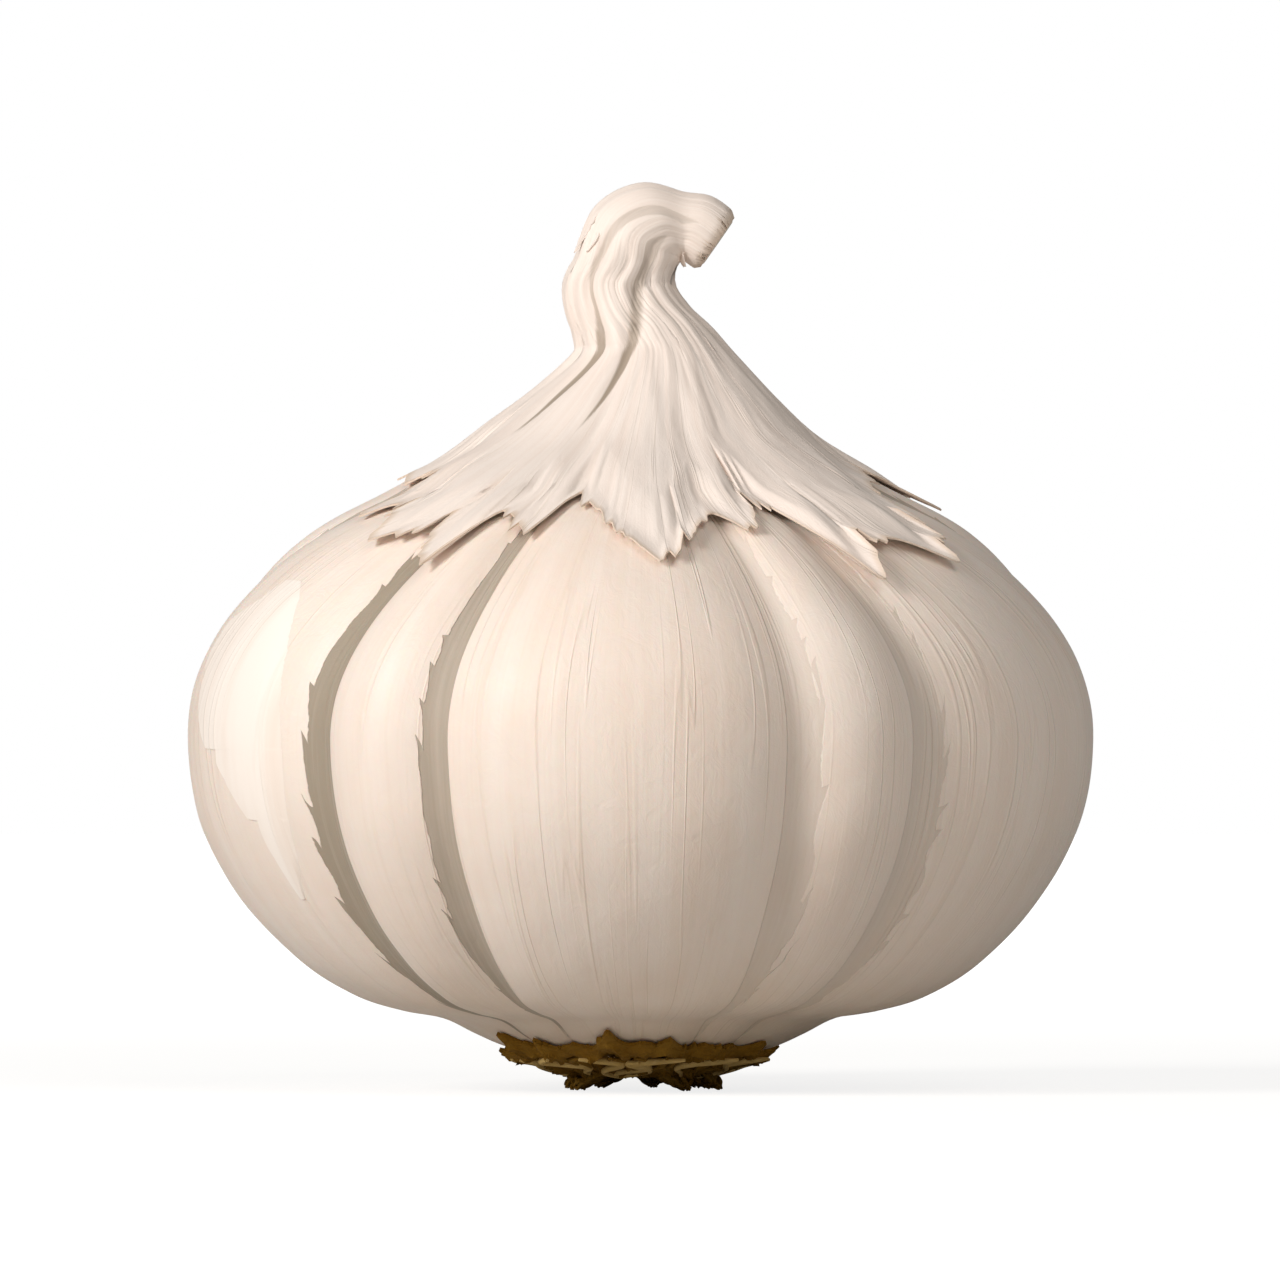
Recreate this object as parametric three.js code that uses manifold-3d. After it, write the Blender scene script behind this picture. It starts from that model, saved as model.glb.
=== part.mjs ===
// A garlic bulb: a squat head of ten cloves in papery skin, with a dried neck that folds over to one side.
// A torn outer skin still wraps the neck and the shoulders, a strip of it clings to one clove,
// and the bulb stands on a trimmed crown of dry roots.
// Millimetres, +Z up, the front towards -Y, and the origin in the middle of the flat spot that it rests on.
// Angles run round the bulb in degrees, counted along the cloves: 0 at the front, 90 at the right (+X).

import * as THREE from 'three';
import { LoftGeometry } from 'three/addons/geometries/LoftGeometry.js';
import { mergeVertices } from 'three/addons/utils/BufferGeometryUtils.js';
import Module from 'manifold-3d';

const wasm = await Module();
wasm.setup();

// Driving dimensions

// The body's outline, from the middle of the underside to the neck's foot: radius, height, lean to the right.
const BODY = [
  [0, 2.1, 0], [6.5, 2.3, 0], [9.3, 2.95, 0], [11.5, 3.9, 0], [13.7, 4.95, 0], [16.6, 5.5, 0],
  [19.8, 6.5, 0], [23.8, 9.0, 0], [27.7, 13.0, 0], [30.5, 18.2, 0], [31.4, 24.0, 0], [30.5, 29.2, 0],
  [27.6, 34.1, 0], [23.3, 38.1, 0], [17.7, 41.0, 0.1], [12.2, 43.7, 0.3], [8.4, 46.6, 0.7],
];
// The neck above it, which wanders a little: half width, height, lean.
const NECK = [[5.0, 49.8, 0.95], [4.1, 51.6, 0.3], [3.5, 53.3, -0.85], [3.15, 55.0, -1.4]];
// The fold at the top, whose sections fan round its inner corner: tip in degrees, half width, run-out.
const FOLD = [[0, 3.25, 0], [30, 3.3, 0], [60, 2.85, 0], [90, 2.15, 0], [115, 2.2, 0], [125, 2.15, 1.2]];
const FOLD_CORNER = { x: 2.9, z: 56.6 };
const FOLD_SLACK = 0.35;
const NECK_FLATNESS = 0.9; // depth over width where the neck is fully formed
// The dried hollow in the cut end, ring by ring: the share of the way to its middle, and how deep.
const HOLLOW = [[0.3, 0], [0.45, 0.8], [1, 0.9]];

// The cloves, by width round the bulb in degrees, from the seam left of the front towards the right.
const FIRST_SEAM = -47;
const CLOVES = [19.5, 49, 19, 58, 20, 52, 20, 53, 20, 49.5];
// A clove narrower than the limit sits back between its neighbours by a share of the seam's depth.
const NARROW = { limit: 30, setback: 0.35 };
// Above the widest part the seams gather towards the front: the most degrees, and where it starts and ends.
const GATHER = { most: 22, from: 24, to: 40.4 };
// A seam is this deep at the widest part. Higher up its depth is least + growth x the half width, and it
// fades where the half width is under fade. The skin bridges it for so many degrees on either side.
const SEAM = { depth: 2.1, least: 0.15, growth: 0.07, fade: 3, bridge: 2.2 };

// The outer skin: it stands off the bulb by its gap, lies shallower over the seams, curls away over the first
// part of its length where a tip hangs low, and flares over the last part.
const SKIN = { thickness: 0.6, gap: 0.4, leastGap: 0.2, seams: 0.5 };
const CURL = { most: 1.0, part: 0.25, lowTip: 35, highTip: 40 };
const FLARE = { most: 0.15, part: 0.15 };
// Its torn lower edge, as tips and notches in turn: angle, height. The curve makes the tips sharp.
const HEM = [
  [-40.3, 35.2], [-36, 39.0], [-25.6, 37.4], [-20.6, 40.2], [5, 35.2], [19, 38.9], [24.5, 37.7], [36, 39.9],
  [43, 34.4], [52.8, 37.2], [63, 35.4], [90, 41.4], [97, 41.0], [104, 42.2], [113, 39.6], [120, 40.9],
  [136, 34.8], [141, 38.4], [148, 36.8], [157, 41.4], [165, 39.8], [171, 41.2], [184, 36.6], [189, 38.2],
  [201, 33.4], [210, 40.8], [220, 38.0], [228, 41.6], [238, 40.2], [249, 42.0], [262, 41.2], [272, 42.2],
  [283.3, 38.9], [290.4, 39.6], [300.8, 36.9], [307.7, 38.0],
];
const HEM_CURVE = 1.6;
// Its upper rim, in stations below the start of the fold: the middle, the slant, and its ragged points.
const RIM = { drop: 0.15, slant: 0.55, points: 7, pointDepth: 0.35 };

// The strip of outer skin on the left clove, from its torn top to its point: height, left edge, right edge.
const STRIP = [
  [35.2, -70.7, -67.2], [33.6, -72.1, -62], [32.0, -77.1, -58.4], [30.0, -76.8, -55.4], [27.2, -74, -53.4],
  [24.4, -70.8, -52.5], [22.4, -67.6, -52.6], [21.3, -64.5, -52.8], [18.7, -60.8, -53.4], [16.1, -58.2, -54],
  [13.3, -57, -56.2],
];
const STRIP_BED = { raised: 0.5, sunk: 1, columns: 5 };

// The crown of roots under the bulb: its flat foot and flank, as radius and height.
const CROWN_FLANK = [[4.4, 0], [5.0, 0.5], [6.3, 1.2]];
// Its torn rim, which hugs the underside of the bulb, as points and notches in turn: angle, radius.
const CROWN_RIM = [
  [-72, 9.6], [-65, 8.9], [-55, 12.2], [-47, 10.5], [-41, 11.2], [-34, 10.2], [-27, 11.0], [-19, 10.4],
  [-10.5, 12.8], [-4, 10.9], [2, 11.2], [5, 10.7], [10.3, 11.8], [19, 10.3], [25, 10.9], [33, 10.2],
  [40, 10.7], [45, 10.2], [52, 11.1], [60, 9.3], [67, 9.7], [80, 8.4], [88, 8.9], [97, 8.2],
  [106, 10.2], [113, 9.4], [124, 11.8], [133, 9.9], [141, 10.9], [150, 10.0], [163, 12.1], [172, 10.2],
  [181, 11.3], [190, 10.1], [204, 12.4], [212, 10.3], [221, 11.2], [230, 9.5], [243, 11.4], [252, 9.0],
  [262, 9.7], [270, 8.8], [279, 9.3], [283, 8.7],
];
const CROWN_BED = { lip: 0.7, share: 0.9, sunk: 1.2 }; // the rim's thickness, and its top inside the bulb
// The roots, in tiers up the flank of the crown. The pairs are a least and a most.
const ROOTS = {
  count: 42, sides: 4, steps: 4, radius: 0.55, taper: 0.5, tiers: 3, unevenness: 6,
  startRadius: [3.2, 5.7], startHeight: [0.5, 1.7], reach: [1.5, 3], sway: [-1.2, 1.2],
  tipHeight: [-0.3, 0.7], tierRise: 0.7,
};
const TRIM_SLAB = { width: 60, depth: 10 };

// How finely the solids are divided: degrees between columns, how far those crowd towards the seams,
// stations between rows, rows of the outer skin, and the least degrees between two of its columns.
const FINENESS = { column: 6, crowding: 0.6, row: 0.5, skinRows: 8, leastColumn: 0.8 };

const { degToRad, euclideanModulo, lerp, clamp, smoothstep, seededRandom } = THREE.MathUtils;

// The bulb's surface, as a function of angle and station

// A station is one cross-section: half width, half depth, centre x, centre z and tip angle.
const bodyStations = BODY.map(([radius, z, x]) => [radius, radius, x, z, 0]);
const neckStations = NECK.map(([half, z, x], i) => {
  const flatness = lerp(1, NECK_FLATNESS, (i + 1) / NECK.length);
  return [half, half * flatness, x, z, 0];
});
const foldStations = FOLD.map(([tip, half, runOut]) => {
  const [cos, sin] = [Math.cos(degToRad(tip)), Math.sin(degToRad(tip))];
  const x = FOLD_CORNER.x - (half + FOLD_SLACK) * cos + runOut * sin;
  const z = FOLD_CORNER.z + (half + FOLD_SLACK) * sin + runOut * cos;
  return [half, half * NECK_FLATNESS, x, z, tip];
});
const stations = [...bodyStations, ...neckStations, ...foldStations];
const LAST = stations.length - 1;
const FOLD_START = BODY.length + NECK.length;
const between = new THREE.CubicInterpolant(stations.map((_, i) => i), stations.flat(), stations[0].length);

// The share of the seam's depth at an angle, from 0 on a clove's crest to 1 in the seam beside it.
function seamShare(angle) {
  const turned = euclideanModulo(angle - FIRST_SEAM, 360);
  let start = 0;
  for (const width of CLOVES) {
    if (turned < start + width) {
      const half = width / 2;
      const fromSeam = half - Math.abs(turned - start - half);
      const bridged = (Math.hypot(fromSeam, SEAM.bridge) - SEAM.bridge) / half;
      const setback = width < NARROW.limit ? NARROW.setback : 0;
      return lerp(setback, 1, Math.max(0, 1 - bridged) ** 3);
    }
    start += width;
  }
  return 1;
}

// The direction round the bulb. Towards the neck the cloves crowd together at the front.
function directionOf(angle, height) {
  const gathered = clamp((height - GATHER.from) / (GATHER.to - GATHER.from), 0, 1) ** 2;
  return degToRad(angle - GATHER.most * gathered * Math.sin(degToRad(angle)));
}

// The point on the bulb at an angle and a station, or lifted off it, with seams from 0, none, to 1, full.
function onBulb(angle, station, lift = 0, seams = 1) {
  const [halfWidth, halfDepth, x, z, tip] = between.evaluate(clamp(station, 0, LAST));
  const fading = Math.min(1, halfWidth / SEAM.fade);
  const depth = seams * fading * Math.min(SEAM.depth, SEAM.least + SEAM.growth * halfWidth);
  const share = halfWidth > 0 ? 1 - (depth * seamShare(angle)) / halfWidth : 0;
  const direction = directionOf(angle, z);
  const across = halfWidth * share * Math.sin(direction);
  const point = new THREE.Vector3(
    x + across * Math.cos(degToRad(tip)),
    -halfDepth * share * Math.cos(direction),
    z - across * Math.sin(degToRad(tip)),
  );
  return lift ? point.addScaledVector(normalAt(angle, station), lift) : point;
}

// The outward direction there, as if the bulb had no seams, so that lifted points never cross in a seam.
// It is found from points a small step away along the bulb and round it.
function normalAt(angle, station) {
  const [alongStep, roundStep] = [0.04, 0.5];
  const s = clamp(station, alongStep, LAST - alongStep);
  const along = onBulb(angle, s + alongStep, 0, 0).sub(onBulb(angle, s - alongStep, 0, 0));
  const round = onBulb(angle + roundStep, s, 0, 0).sub(onBulb(angle - roundStep, s, 0, 0));
  return round.cross(along).normalize();
}

// The station below the fold that has a given height, found by halving the stretch that holds it.
function stationAtHeight(height) {
  const halvings = 30;
  let [low, high] = [0, FOLD_START];
  for (let i = 0; i < halvings; i++) {
    const middle = (low + high) / 2;
    if (between.evaluate(middle)[3] < height) low = middle;
    else high = middle;
  }
  return low;
}

// The station on the underside that has a given radius.
function stationAtRadius(radius) {
  const outer = BODY.findIndex(([r]) => r > radius);
  const [inside, outside] = [BODY[outer - 1][0], BODY[outer][0]];
  return outer - 1 + (radius - inside) / (outside - inside);
}

// Columns round the bulb, closer together by the seams.
function columnsOfCloves() {
  const angles = [];
  let start = FIRST_SEAM;
  for (const width of CLOVES) {
    const count = Math.max(4, Math.round(width / FINENESS.column));
    for (let i = 0; i < count; i++) {
      const even = -1 + (2 * i) / count;
      const crowded = lerp(even, Math.sin((even * Math.PI) / 2), FINENESS.crowding);
      angles.push(start + ((crowded + 1) / 2) * width);
    }
    start += width;
  }
  return angles;
}

// Even steps from 0 to 1, both included.
const evenSteps = (count) => Array.from({ length: count }, (_, i) => i / (count - 1));

// Solids

// Vertices that coincide are merged, and triangles that this leaves without area are dropped.
function solidOf(geometry) {
  const bare = new THREE.BufferGeometry().setIndex(geometry.index);
  const merged = mergeVertices(bare.setAttribute('position', geometry.attributes.position), 1e-4);
  const corners = merged.index.array;
  const whole = (_, i) => new Set(corners.slice(i - (i % 3), i - (i % 3) + 3)).size === 3;
  const triVerts = new Uint32Array(corners.filter(whole));
  const vertProperties = merged.attributes.position.array;
  return new wasm.Manifold(new wasm.Mesh({ numProp: 3, vertProperties, triVerts }));
}

function geometryOf(solid) {
  const { vertProperties, triVerts } = solid.getMesh();
  const geometry = new THREE.BufferGeometry();
  geometry.setAttribute('position', new THREE.BufferAttribute(vertProperties, 3));
  geometry.setIndex(new THREE.BufferAttribute(triVerts, 1));
  geometry.computeVertexNormals();
  return geometry;
}

// The body and neck in one skin, closed at the top by the shallow hollow of the dried, cut stalk.
function bulbSolid(lift = 0) {
  const columns = columnsOfCloves();
  const sections = [];
  for (let station = FINENESS.row / 2; station < LAST; station += FINENESS.row) {
    sections.push(columns.map((angle) => onBulb(angle, station, lift)));
  }
  const end = columns.map((angle) => onBulb(angle, LAST, lift));
  const middle = end.reduce((sum, point) => sum.add(point), new THREE.Vector3()).divideScalar(end.length);
  const tip = degToRad(stations[LAST][4]);
  const inwards = new THREE.Vector3(-Math.sin(tip), 0, -Math.cos(tip));
  const hollow = HOLLOW.map(([share, depth]) => end.map((point) => (
    point.clone().lerp(middle, share).addScaledVector(inwards, depth)
  )));
  return solidOf(new LoftGeometry([...sections, end, ...hollow], { capStart: true }));
}

// The strip of skin left on the left clove, sunk into the bulb and standing a little proud of it.
function stripSolid() {
  const sections = STRIP.toReversed().map(([height, left, right]) => {
    const station = stationAtHeight(height);
    const angles = evenSteps(STRIP_BED.columns).map((share) => lerp(left, right, share));
    const outer = angles.map((angle) => onBulb(angle, station, STRIP_BED.raised));
    const inner = angles.map((angle) => onBulb(angle, station, -STRIP_BED.sunk)).reverse();
    return [...outer, ...inner];
  });
  return solidOf(new LoftGeometry(sections, { capStart: true, capEnd: true }));
}

// The height of the torn hem at an angle: sharp tips, rounded notches.
function hemHeight(angle) {
  const turned = euclideanModulo(angle - HEM[0][0], 360) + HEM[0][0];
  const next = HEM.findIndex(([at]) => at > turned);
  const [a, b] = next < 0 ? [HEM.at(-1), [HEM[0][0] + 360, HEM[0][1]]] : [HEM[next - 1], HEM[next]];
  const share = (turned - a[0]) / (b[0] - a[0]);
  return b[1] < a[1] ? lerp(a[1], b[1], share ** HEM_CURVE) : lerp(b[1], a[1], (1 - share) ** HEM_CURVE);
}

// The station of the torn rim round the neck, higher on the left where the stalk folds away from it.
function rimStation(angle) {
  const ragged = Math.abs(euclideanModulo(angle * RIM.points, 360) / 180 - 1);
  return FOLD_START - RIM.drop - RIM.slant * Math.sin(degToRad(angle)) - RIM.pointDepth * ragged;
}

// How far the outer skin stands off the bulb, at a share of the way from its hem, 0, to its rim, 1.
function skinGap(angle, share) {
  const tipness = 1 - smoothstep(hemHeight(angle), CURL.lowTip, CURL.highTip);
  const curl = CURL.most * tipness * Math.max(0, 1 - share / CURL.part) ** 2;
  const flare = FLARE.most * Math.max(0, 1 - (1 - share) / FLARE.part) ** 2;
  return SKIN.gap + curl + flare;
}

// The outer skin as one closed wall, cut clear of the bulb inside it.
function outerSkinSolid() {
  const columns = [...columnsOfCloves(), ...HEM.map(([angle]) => angle)]
    .map((angle) => euclideanModulo(angle + 180, 360) - 180)
    .sort((a, b) => a - b)
    .filter((angle, i, all) => i === 0 || angle - all[i - 1] > FINENESS.leastColumn);
  const section = (share, thickness) => columns.map((angle) => {
    const station = lerp(stationAtHeight(hemHeight(angle)), rimStation(angle), share);
    return onBulb(angle, station, skinGap(angle, share) + thickness, SKIN.seams);
  });
  const shares = evenSteps(FINENESS.skinRows);
  const outside = shares.map((share) => section(share, SKIN.thickness));
  const inside = shares.map((share) => section(share, 0)).reverse();
  const skin = solidOf(new LoftGeometry([...outside, ...inside, outside[0]]));
  return skin.subtract(bulbSolid(SKIN.leastGap));
}

// The brown plate that the roots grow from: flat below, with a torn rim that hugs the bulb's underside.
function plateSolid() {
  const flank = CROWN_FLANK.map(([radius, z]) => CROWN_RIM.map(([angle]) => new THREE.Vector3(
    radius * Math.sin(degToRad(angle)), -radius * Math.cos(degToRad(angle)), z,
  )));
  const ring = (share, lift) => CROWN_RIM.map(([angle, radius]) => (
    onBulb(angle, stationAtRadius(radius) * share, lift)
  ));
  const edge = [ring(1, SKIN.gap + CROWN_BED.lip), ring(1, 0)];
  const top = ring(CROWN_BED.share, -CROWN_BED.sunk);
  return solidOf(new LoftGeometry([...flank, ...edge, top], { capStart: true, capEnd: true }));
}

// A seeded draw between a least and a most.
const draw = ([least, most]) => lerp(least, most, seededRandom());

// One dry root: a thin tapering tube from inside the plate, out and down towards the surface.
function rootSolid(index) {
  const unevenness = draw([-ROOTS.unevenness, ROOTS.unevenness]);
  const angle = degToRad((index * 360) / ROOTS.count + unevenness);
  const outwards = new THREE.Vector3(Math.sin(angle), -Math.cos(angle), 0);
  const sideways = new THREE.Vector3(Math.cos(angle), Math.sin(angle), 0);
  const level = (index % ROOTS.tiers) / (ROOTS.tiers - 1);
  const [radius, height] = [lerp(...ROOTS.startRadius, level), lerp(...ROOTS.startHeight, level)];
  const [reach, sway] = [draw(ROOTS.reach), draw(ROOTS.sway)];
  const tipHeight = draw(ROOTS.tipHeight) + ROOTS.tierRise * level;
  const at = (out, aside, z) => outwards.clone().multiplyScalar(out).addScaledVector(sideways, aside).setZ(z);
  const curve = new THREE.CatmullRomCurve3([
    at(radius, 0, height),
    at(radius + reach * 0.6, sway * 0.3, height * 0.8),
    at(radius + reach, sway, tipHeight),
  ]);
  const frames = curve.computeFrenetFrames(ROOTS.steps, false);
  const sections = evenSteps(ROOTS.steps + 1).map((share, i) => {
    const thick = ROOTS.radius * lerp(1, ROOTS.taper, share);
    return Array.from({ length: ROOTS.sides }, (_, k) => {
      const turn = (k / ROOTS.sides) * Math.PI * 2;
      return curve.getPointAt(share)
        .addScaledVector(frames.normals[i], thick * Math.cos(turn))
        .addScaledVector(frames.binormals[i], thick * Math.sin(turn));
    });
  });
  return solidOf(new LoftGeometry(sections, { capStart: true, capEnd: true }));
}

// Everything below the surface that the bulb stands on is trimmed away.
function trimmedAtFloor(solid) {
  const { width, depth } = TRIM_SLAB;
  return solid.subtract(solidOf(new THREE.BoxGeometry(width, width, depth).translate(0, 0, -depth / 2)));
}

// The plate and its roots in one piece, cut clear of the bulb above it.
function crownSolid(bulb) {
  seededRandom(23);
  let crown = plateSolid();
  for (let i = 0; i < ROOTS.count; i++) crown = crown.add(rootSolid(i));
  return trimmedAtFloor(crown).subtract(bulb.translate(0, 0, -SKIN.gap));
}

// The part

const papery = { roughness: 0.55, metalness: 0 };
const skinMaterial = new THREE.MeshStandardMaterial({ color: 0xead8c5, ...papery });
const outerSkinMaterial = new THREE.MeshStandardMaterial({ color: 0xf3e3d7, ...papery });
const rootMaterial = new THREE.MeshStandardMaterial({ color: 0x54400a, roughness: 0.9, metalness: 0 });

function piece(name, solid, material) {
  const mesh = new THREE.Mesh(geometryOf(solid), material);
  mesh.name = name;
  return mesh;
}

const bulb = bulbSolid();
const garlic = new THREE.Group();
garlic.add(
  piece('bulb', bulb.add(stripSolid()), skinMaterial),
  piece('outer_skin', outerSkinSolid(), outerSkinMaterial),
  piece('root_crown', crownSolid(bulb), rootMaterial),
);

export default garlic;
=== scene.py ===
# %% [markdown]
# # A garlic bulb
# A garlic bulb is a ring of cloves, each in its own dry skin, and all of them wrapped in sheets of papery
# skin that run up into the neck. This lesson dresses a plain solid bulb with that skin, its torn outer
# sheet and its crown of roots. The solid bulb is the frame: it says where everything is, and nothing here
# moves it.

# %% Load the frame
import math
import random

import bpy
import numpy as np
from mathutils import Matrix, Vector, noise


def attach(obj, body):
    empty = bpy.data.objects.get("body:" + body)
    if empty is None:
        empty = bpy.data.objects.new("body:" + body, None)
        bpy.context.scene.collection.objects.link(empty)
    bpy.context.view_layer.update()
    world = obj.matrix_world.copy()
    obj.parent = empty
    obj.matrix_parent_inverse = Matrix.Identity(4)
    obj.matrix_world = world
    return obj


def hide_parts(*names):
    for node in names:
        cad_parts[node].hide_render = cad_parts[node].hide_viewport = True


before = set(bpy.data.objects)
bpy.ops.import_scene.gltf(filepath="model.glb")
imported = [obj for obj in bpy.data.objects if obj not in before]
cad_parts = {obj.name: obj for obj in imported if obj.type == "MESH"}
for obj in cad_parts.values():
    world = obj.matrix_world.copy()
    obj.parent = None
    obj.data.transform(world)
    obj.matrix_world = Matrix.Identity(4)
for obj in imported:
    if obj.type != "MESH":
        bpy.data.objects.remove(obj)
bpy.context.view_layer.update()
MM = 0.001

# %% [markdown]
# ## The bulb's surface as a formula
# The frame's bulb was lofted through cross-sections. The finer skin has to lie on the same surface, and
# the surest way is to write the same few sections down again, in millimetres. A place on the bulb is then
# an angle round it, counted along the cloves, and a station, which counts the sections from the underside
# to the end of the neck.

# %% The sections of the body, neck and fold
BODY = [
    [0, 2.1, 0], [6.5, 2.3, 0], [9.3, 2.95, 0], [11.5, 3.9, 0], [13.7, 4.95, 0], [16.6, 5.5, 0],
    [19.8, 6.5, 0], [23.8, 9.0, 0], [27.7, 13.0, 0], [30.5, 18.2, 0], [31.4, 24.0, 0], [30.5, 29.2, 0],
    [27.6, 34.1, 0], [23.3, 38.1, 0], [17.7, 41.0, 0.1], [12.2, 43.7, 0.3], [8.4, 46.6, 0.7],
]  # radius, height, lean
NECK = [
    [5.0, 49.8, 0.95], [4.1, 51.6, 0.3], [3.5, 53.3, -0.85], [3.15, 55.0, -1.4],
]  # half width, height, lean
FOLD = [
    [0, 3.25, 0], [30, 3.3, 0], [60, 2.85, 0], [90, 2.15, 0], [115, 2.2, 0], [125, 2.15, 1.2],
]  # tip in degrees, half width, run-out
FOLD_CORNER = (2.9, 56.6)  # the inner corner that the fold's sections fan round, x and z
FOLD_SLACK = 0.35
NECK_FLATNESS = 0.9  # depth over width where the neck is fully formed


def station_rows():
    """One row for each section: half width, half depth, centre x, centre z and tip angle."""
    rows = [[r, r, x, z, 0] for r, z, x in BODY]
    for i, (half, z, x) in enumerate(NECK):
        flatness = 1 + (NECK_FLATNESS - 1) * (i + 1) / len(NECK)
        rows.append([half, half * flatness, x, z, 0])
    for tip, half, run_out in FOLD:
        cos, sin = math.cos(math.radians(tip)), math.sin(math.radians(tip))
        x = FOLD_CORNER[0] - (half + FOLD_SLACK) * cos + run_out * sin
        z = FOLD_CORNER[1] + (half + FOLD_SLACK) * sin + run_out * cos
        rows.append([half, half * NECK_FLATNESS, x, z, tip])
    return np.array(rows, float)


ROWS = station_rows()
LAST = len(ROWS) - 1
NECK_FOOT = len(BODY) - 1
FOLD_START = len(BODY) + len(NECK)
print("sections:", len(ROWS), "with the highest centre at", round(ROWS[:, 3].max(), 1), "mm")

# %% [markdown]
# ## A smooth curve through the sections
# Between two sections the bulb should swell and narrow without a kink. Straight lines would show as
# rings, so the rows are joined by a Catmull-Rom curve, which passes through each row with a slope taken
# from its two neighbours. All of this works on whole NumPy arrays, because a fine sheet has tens of
# thousands of points.

# %% Between two sections
PADDED = np.vstack([2 * ROWS[0] - ROWS[1], ROWS, 2 * ROWS[-1] - ROWS[-2]])


def between(station):
    """The section at any station, on a smooth curve through the rows."""
    station = np.clip(station, 0, LAST)
    i = np.minimum(station.astype(int), LAST - 1)
    p = (station - i)[..., None]
    a, b, c, d = PADDED[i], PADDED[i + 1], PADDED[i + 2], PADDED[i + 3]
    return b + 0.5 * p * (c - a + p * (2 * a - 5 * b + 4 * c - d + p * (3 * (b - c) + d - a)))


print("widest half section:", round(between(np.linspace(0, LAST, 500))[:, 0].max(), 2), "mm")

# %% [markdown]
# ## Cloves and seams
# Broad cloves alternate with narrow ones that sit back between them. Where two meet, the skin dips into a
# seam. The dip is written as a share of its full depth, from 0 on the crest of a clove to 1 in the seam,
# and the skin bridges the very bottom, so that a seam is a valley and not a cut.

# %% The cloves
FIRST_SEAM = -47
CLOVES = [19.5, 49, 19, 58, 20, 52, 20, 53, 20, 49.5]  # widths in degrees
NARROW_LIMIT, NARROW_SETBACK = 30, 0.35
SEAM_BRIDGE = 2.2  # degrees on either side of a seam
SEAMS = FIRST_SEAM + np.concatenate([[0], np.cumsum(CLOVES)])


def seam_share(angle):
    """The share of the seam's depth, from 0 on a clove's crest to 1 in the seam beside it."""
    turned = (angle - FIRST_SEAM) % 360 + FIRST_SEAM
    clove = np.clip(np.searchsorted(SEAMS, turned, side="right") - 1, 0, len(CLOVES) - 1)
    half = np.array(CLOVES)[clove] / 2
    from_seam = np.maximum(0, half - np.abs(turned - SEAMS[clove] - half))
    bridged = (np.hypot(from_seam, SEAM_BRIDGE) - SEAM_BRIDGE) / half
    setback = np.where(half * 2 < NARROW_LIMIT, NARROW_SETBACK, 0)
    return setback + (1 - setback) * np.maximum(0, 1 - bridged) ** 3


print("cloves:", len(CLOVES), "with", sum(width < NARROW_LIMIT for width in CLOVES), "narrow ones between")

# %% [markdown]
# ## Points on the bulb
# This is the formula that everything else is laid on: an angle and a station in, a point in millimetres
# out. Higher up the cloves crowd together at the front, so the angle along the cloves and the direction
# in space part ways. A lift moves the point off the surface, along a normal that ignores the seams, so
# that lifted points never cross.

# %% On the bulb and off it
GATHER_MOST, GATHER_FROM, GATHER_TO = 22, 24, 40.4  # degrees, and the heights where it starts and is complete
SEAM_DEPTH, SEAM_LEAST, SEAM_GROWTH, SEAM_FADE = 2.1, 0.15, 0.07, 3


def gathered(angle, height):
    """The direction round the bulb. Towards the neck the front cloves crowd together."""
    share = np.clip((height - GATHER_FROM) / (GATHER_TO - GATHER_FROM), 0, 1) ** 2
    return angle - GATHER_MOST * share * np.sin(np.radians(angle))


def on_bulb(angle, station, lift=0.0, seams=1.0):
    """Points on the bulb in millimetres, or lifted off it, with seams from 0, none, to 1, full."""
    half, depth, x, z, tip = np.moveaxis(between(station), -1, 0)
    seam = seams * np.minimum(SEAM_DEPTH, SEAM_LEAST + SEAM_GROWTH * half) * np.minimum(1, half / SEAM_FADE)
    share = 1 - seam * seam_share(angle) / np.maximum(half, 0.1)
    turn = np.radians(gathered(angle, z))
    across = half * share * np.sin(turn)
    cos, sin = np.cos(np.radians(tip)), np.sin(np.radians(tip))
    points = np.stack([x + across * cos, -depth * share * np.cos(turn), z - across * sin], -1)
    if np.any(lift):
        points = points + outward(angle, station) * np.broadcast_to(lift, angle.shape)[..., None]
    return points


def outward(angle, station, along_step=0.04, round_step=0.5):
    """The outward direction, as if the bulb had no seams, from points a small step away."""
    s = np.clip(station, along_step, LAST - along_step)
    along = on_bulb(angle, s + along_step, 0, 0) - on_bulb(angle, s - along_step, 0, 0)
    round_it = on_bulb(angle + round_step, s, 0, 0) - on_bulb(angle - round_step, s, 0, 0)
    normal = np.cross(round_it, along)
    return normal / np.maximum(np.linalg.norm(normal, axis=-1, keepdims=True), 1e-12)


print("the middle of the front clove:", on_bulb(np.array(0.0), np.array(10.0)).round(1), "mm")

# %% [markdown]
# ## Measuring along the bulb
# A torn edge is easier to give as a height, a fibre as a length and a rim as a radius. Three small tables
# turn each of them into a station. They are read by interpolation, which is quick and exact enough on
# paper-thin skin.

# %% From heights, lengths and radii to stations
RISE = np.linspace(0, FOLD_START, 600)
RISE_HEIGHT = between(RISE)[:, 3]
UNDERSIDE_END = 8  # a station
UNDERSIDE = RISE[RISE < UNDERSIDE_END]
UNDERSIDE_RADIUS = between(UNDERSIDE)[:, 0]
PROFILE = np.linspace(0, LAST, 1200)
LEFT_CREST = -60.0  # degrees, up a broad clove
PROFILE_STEPS = np.diff(on_bulb(np.full(len(PROFILE), LEFT_CREST), PROFILE), axis=0)
PROFILE_LENGTH = np.concatenate([[0], np.cumsum(np.linalg.norm(PROFILE_STEPS, axis=1))])


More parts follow.
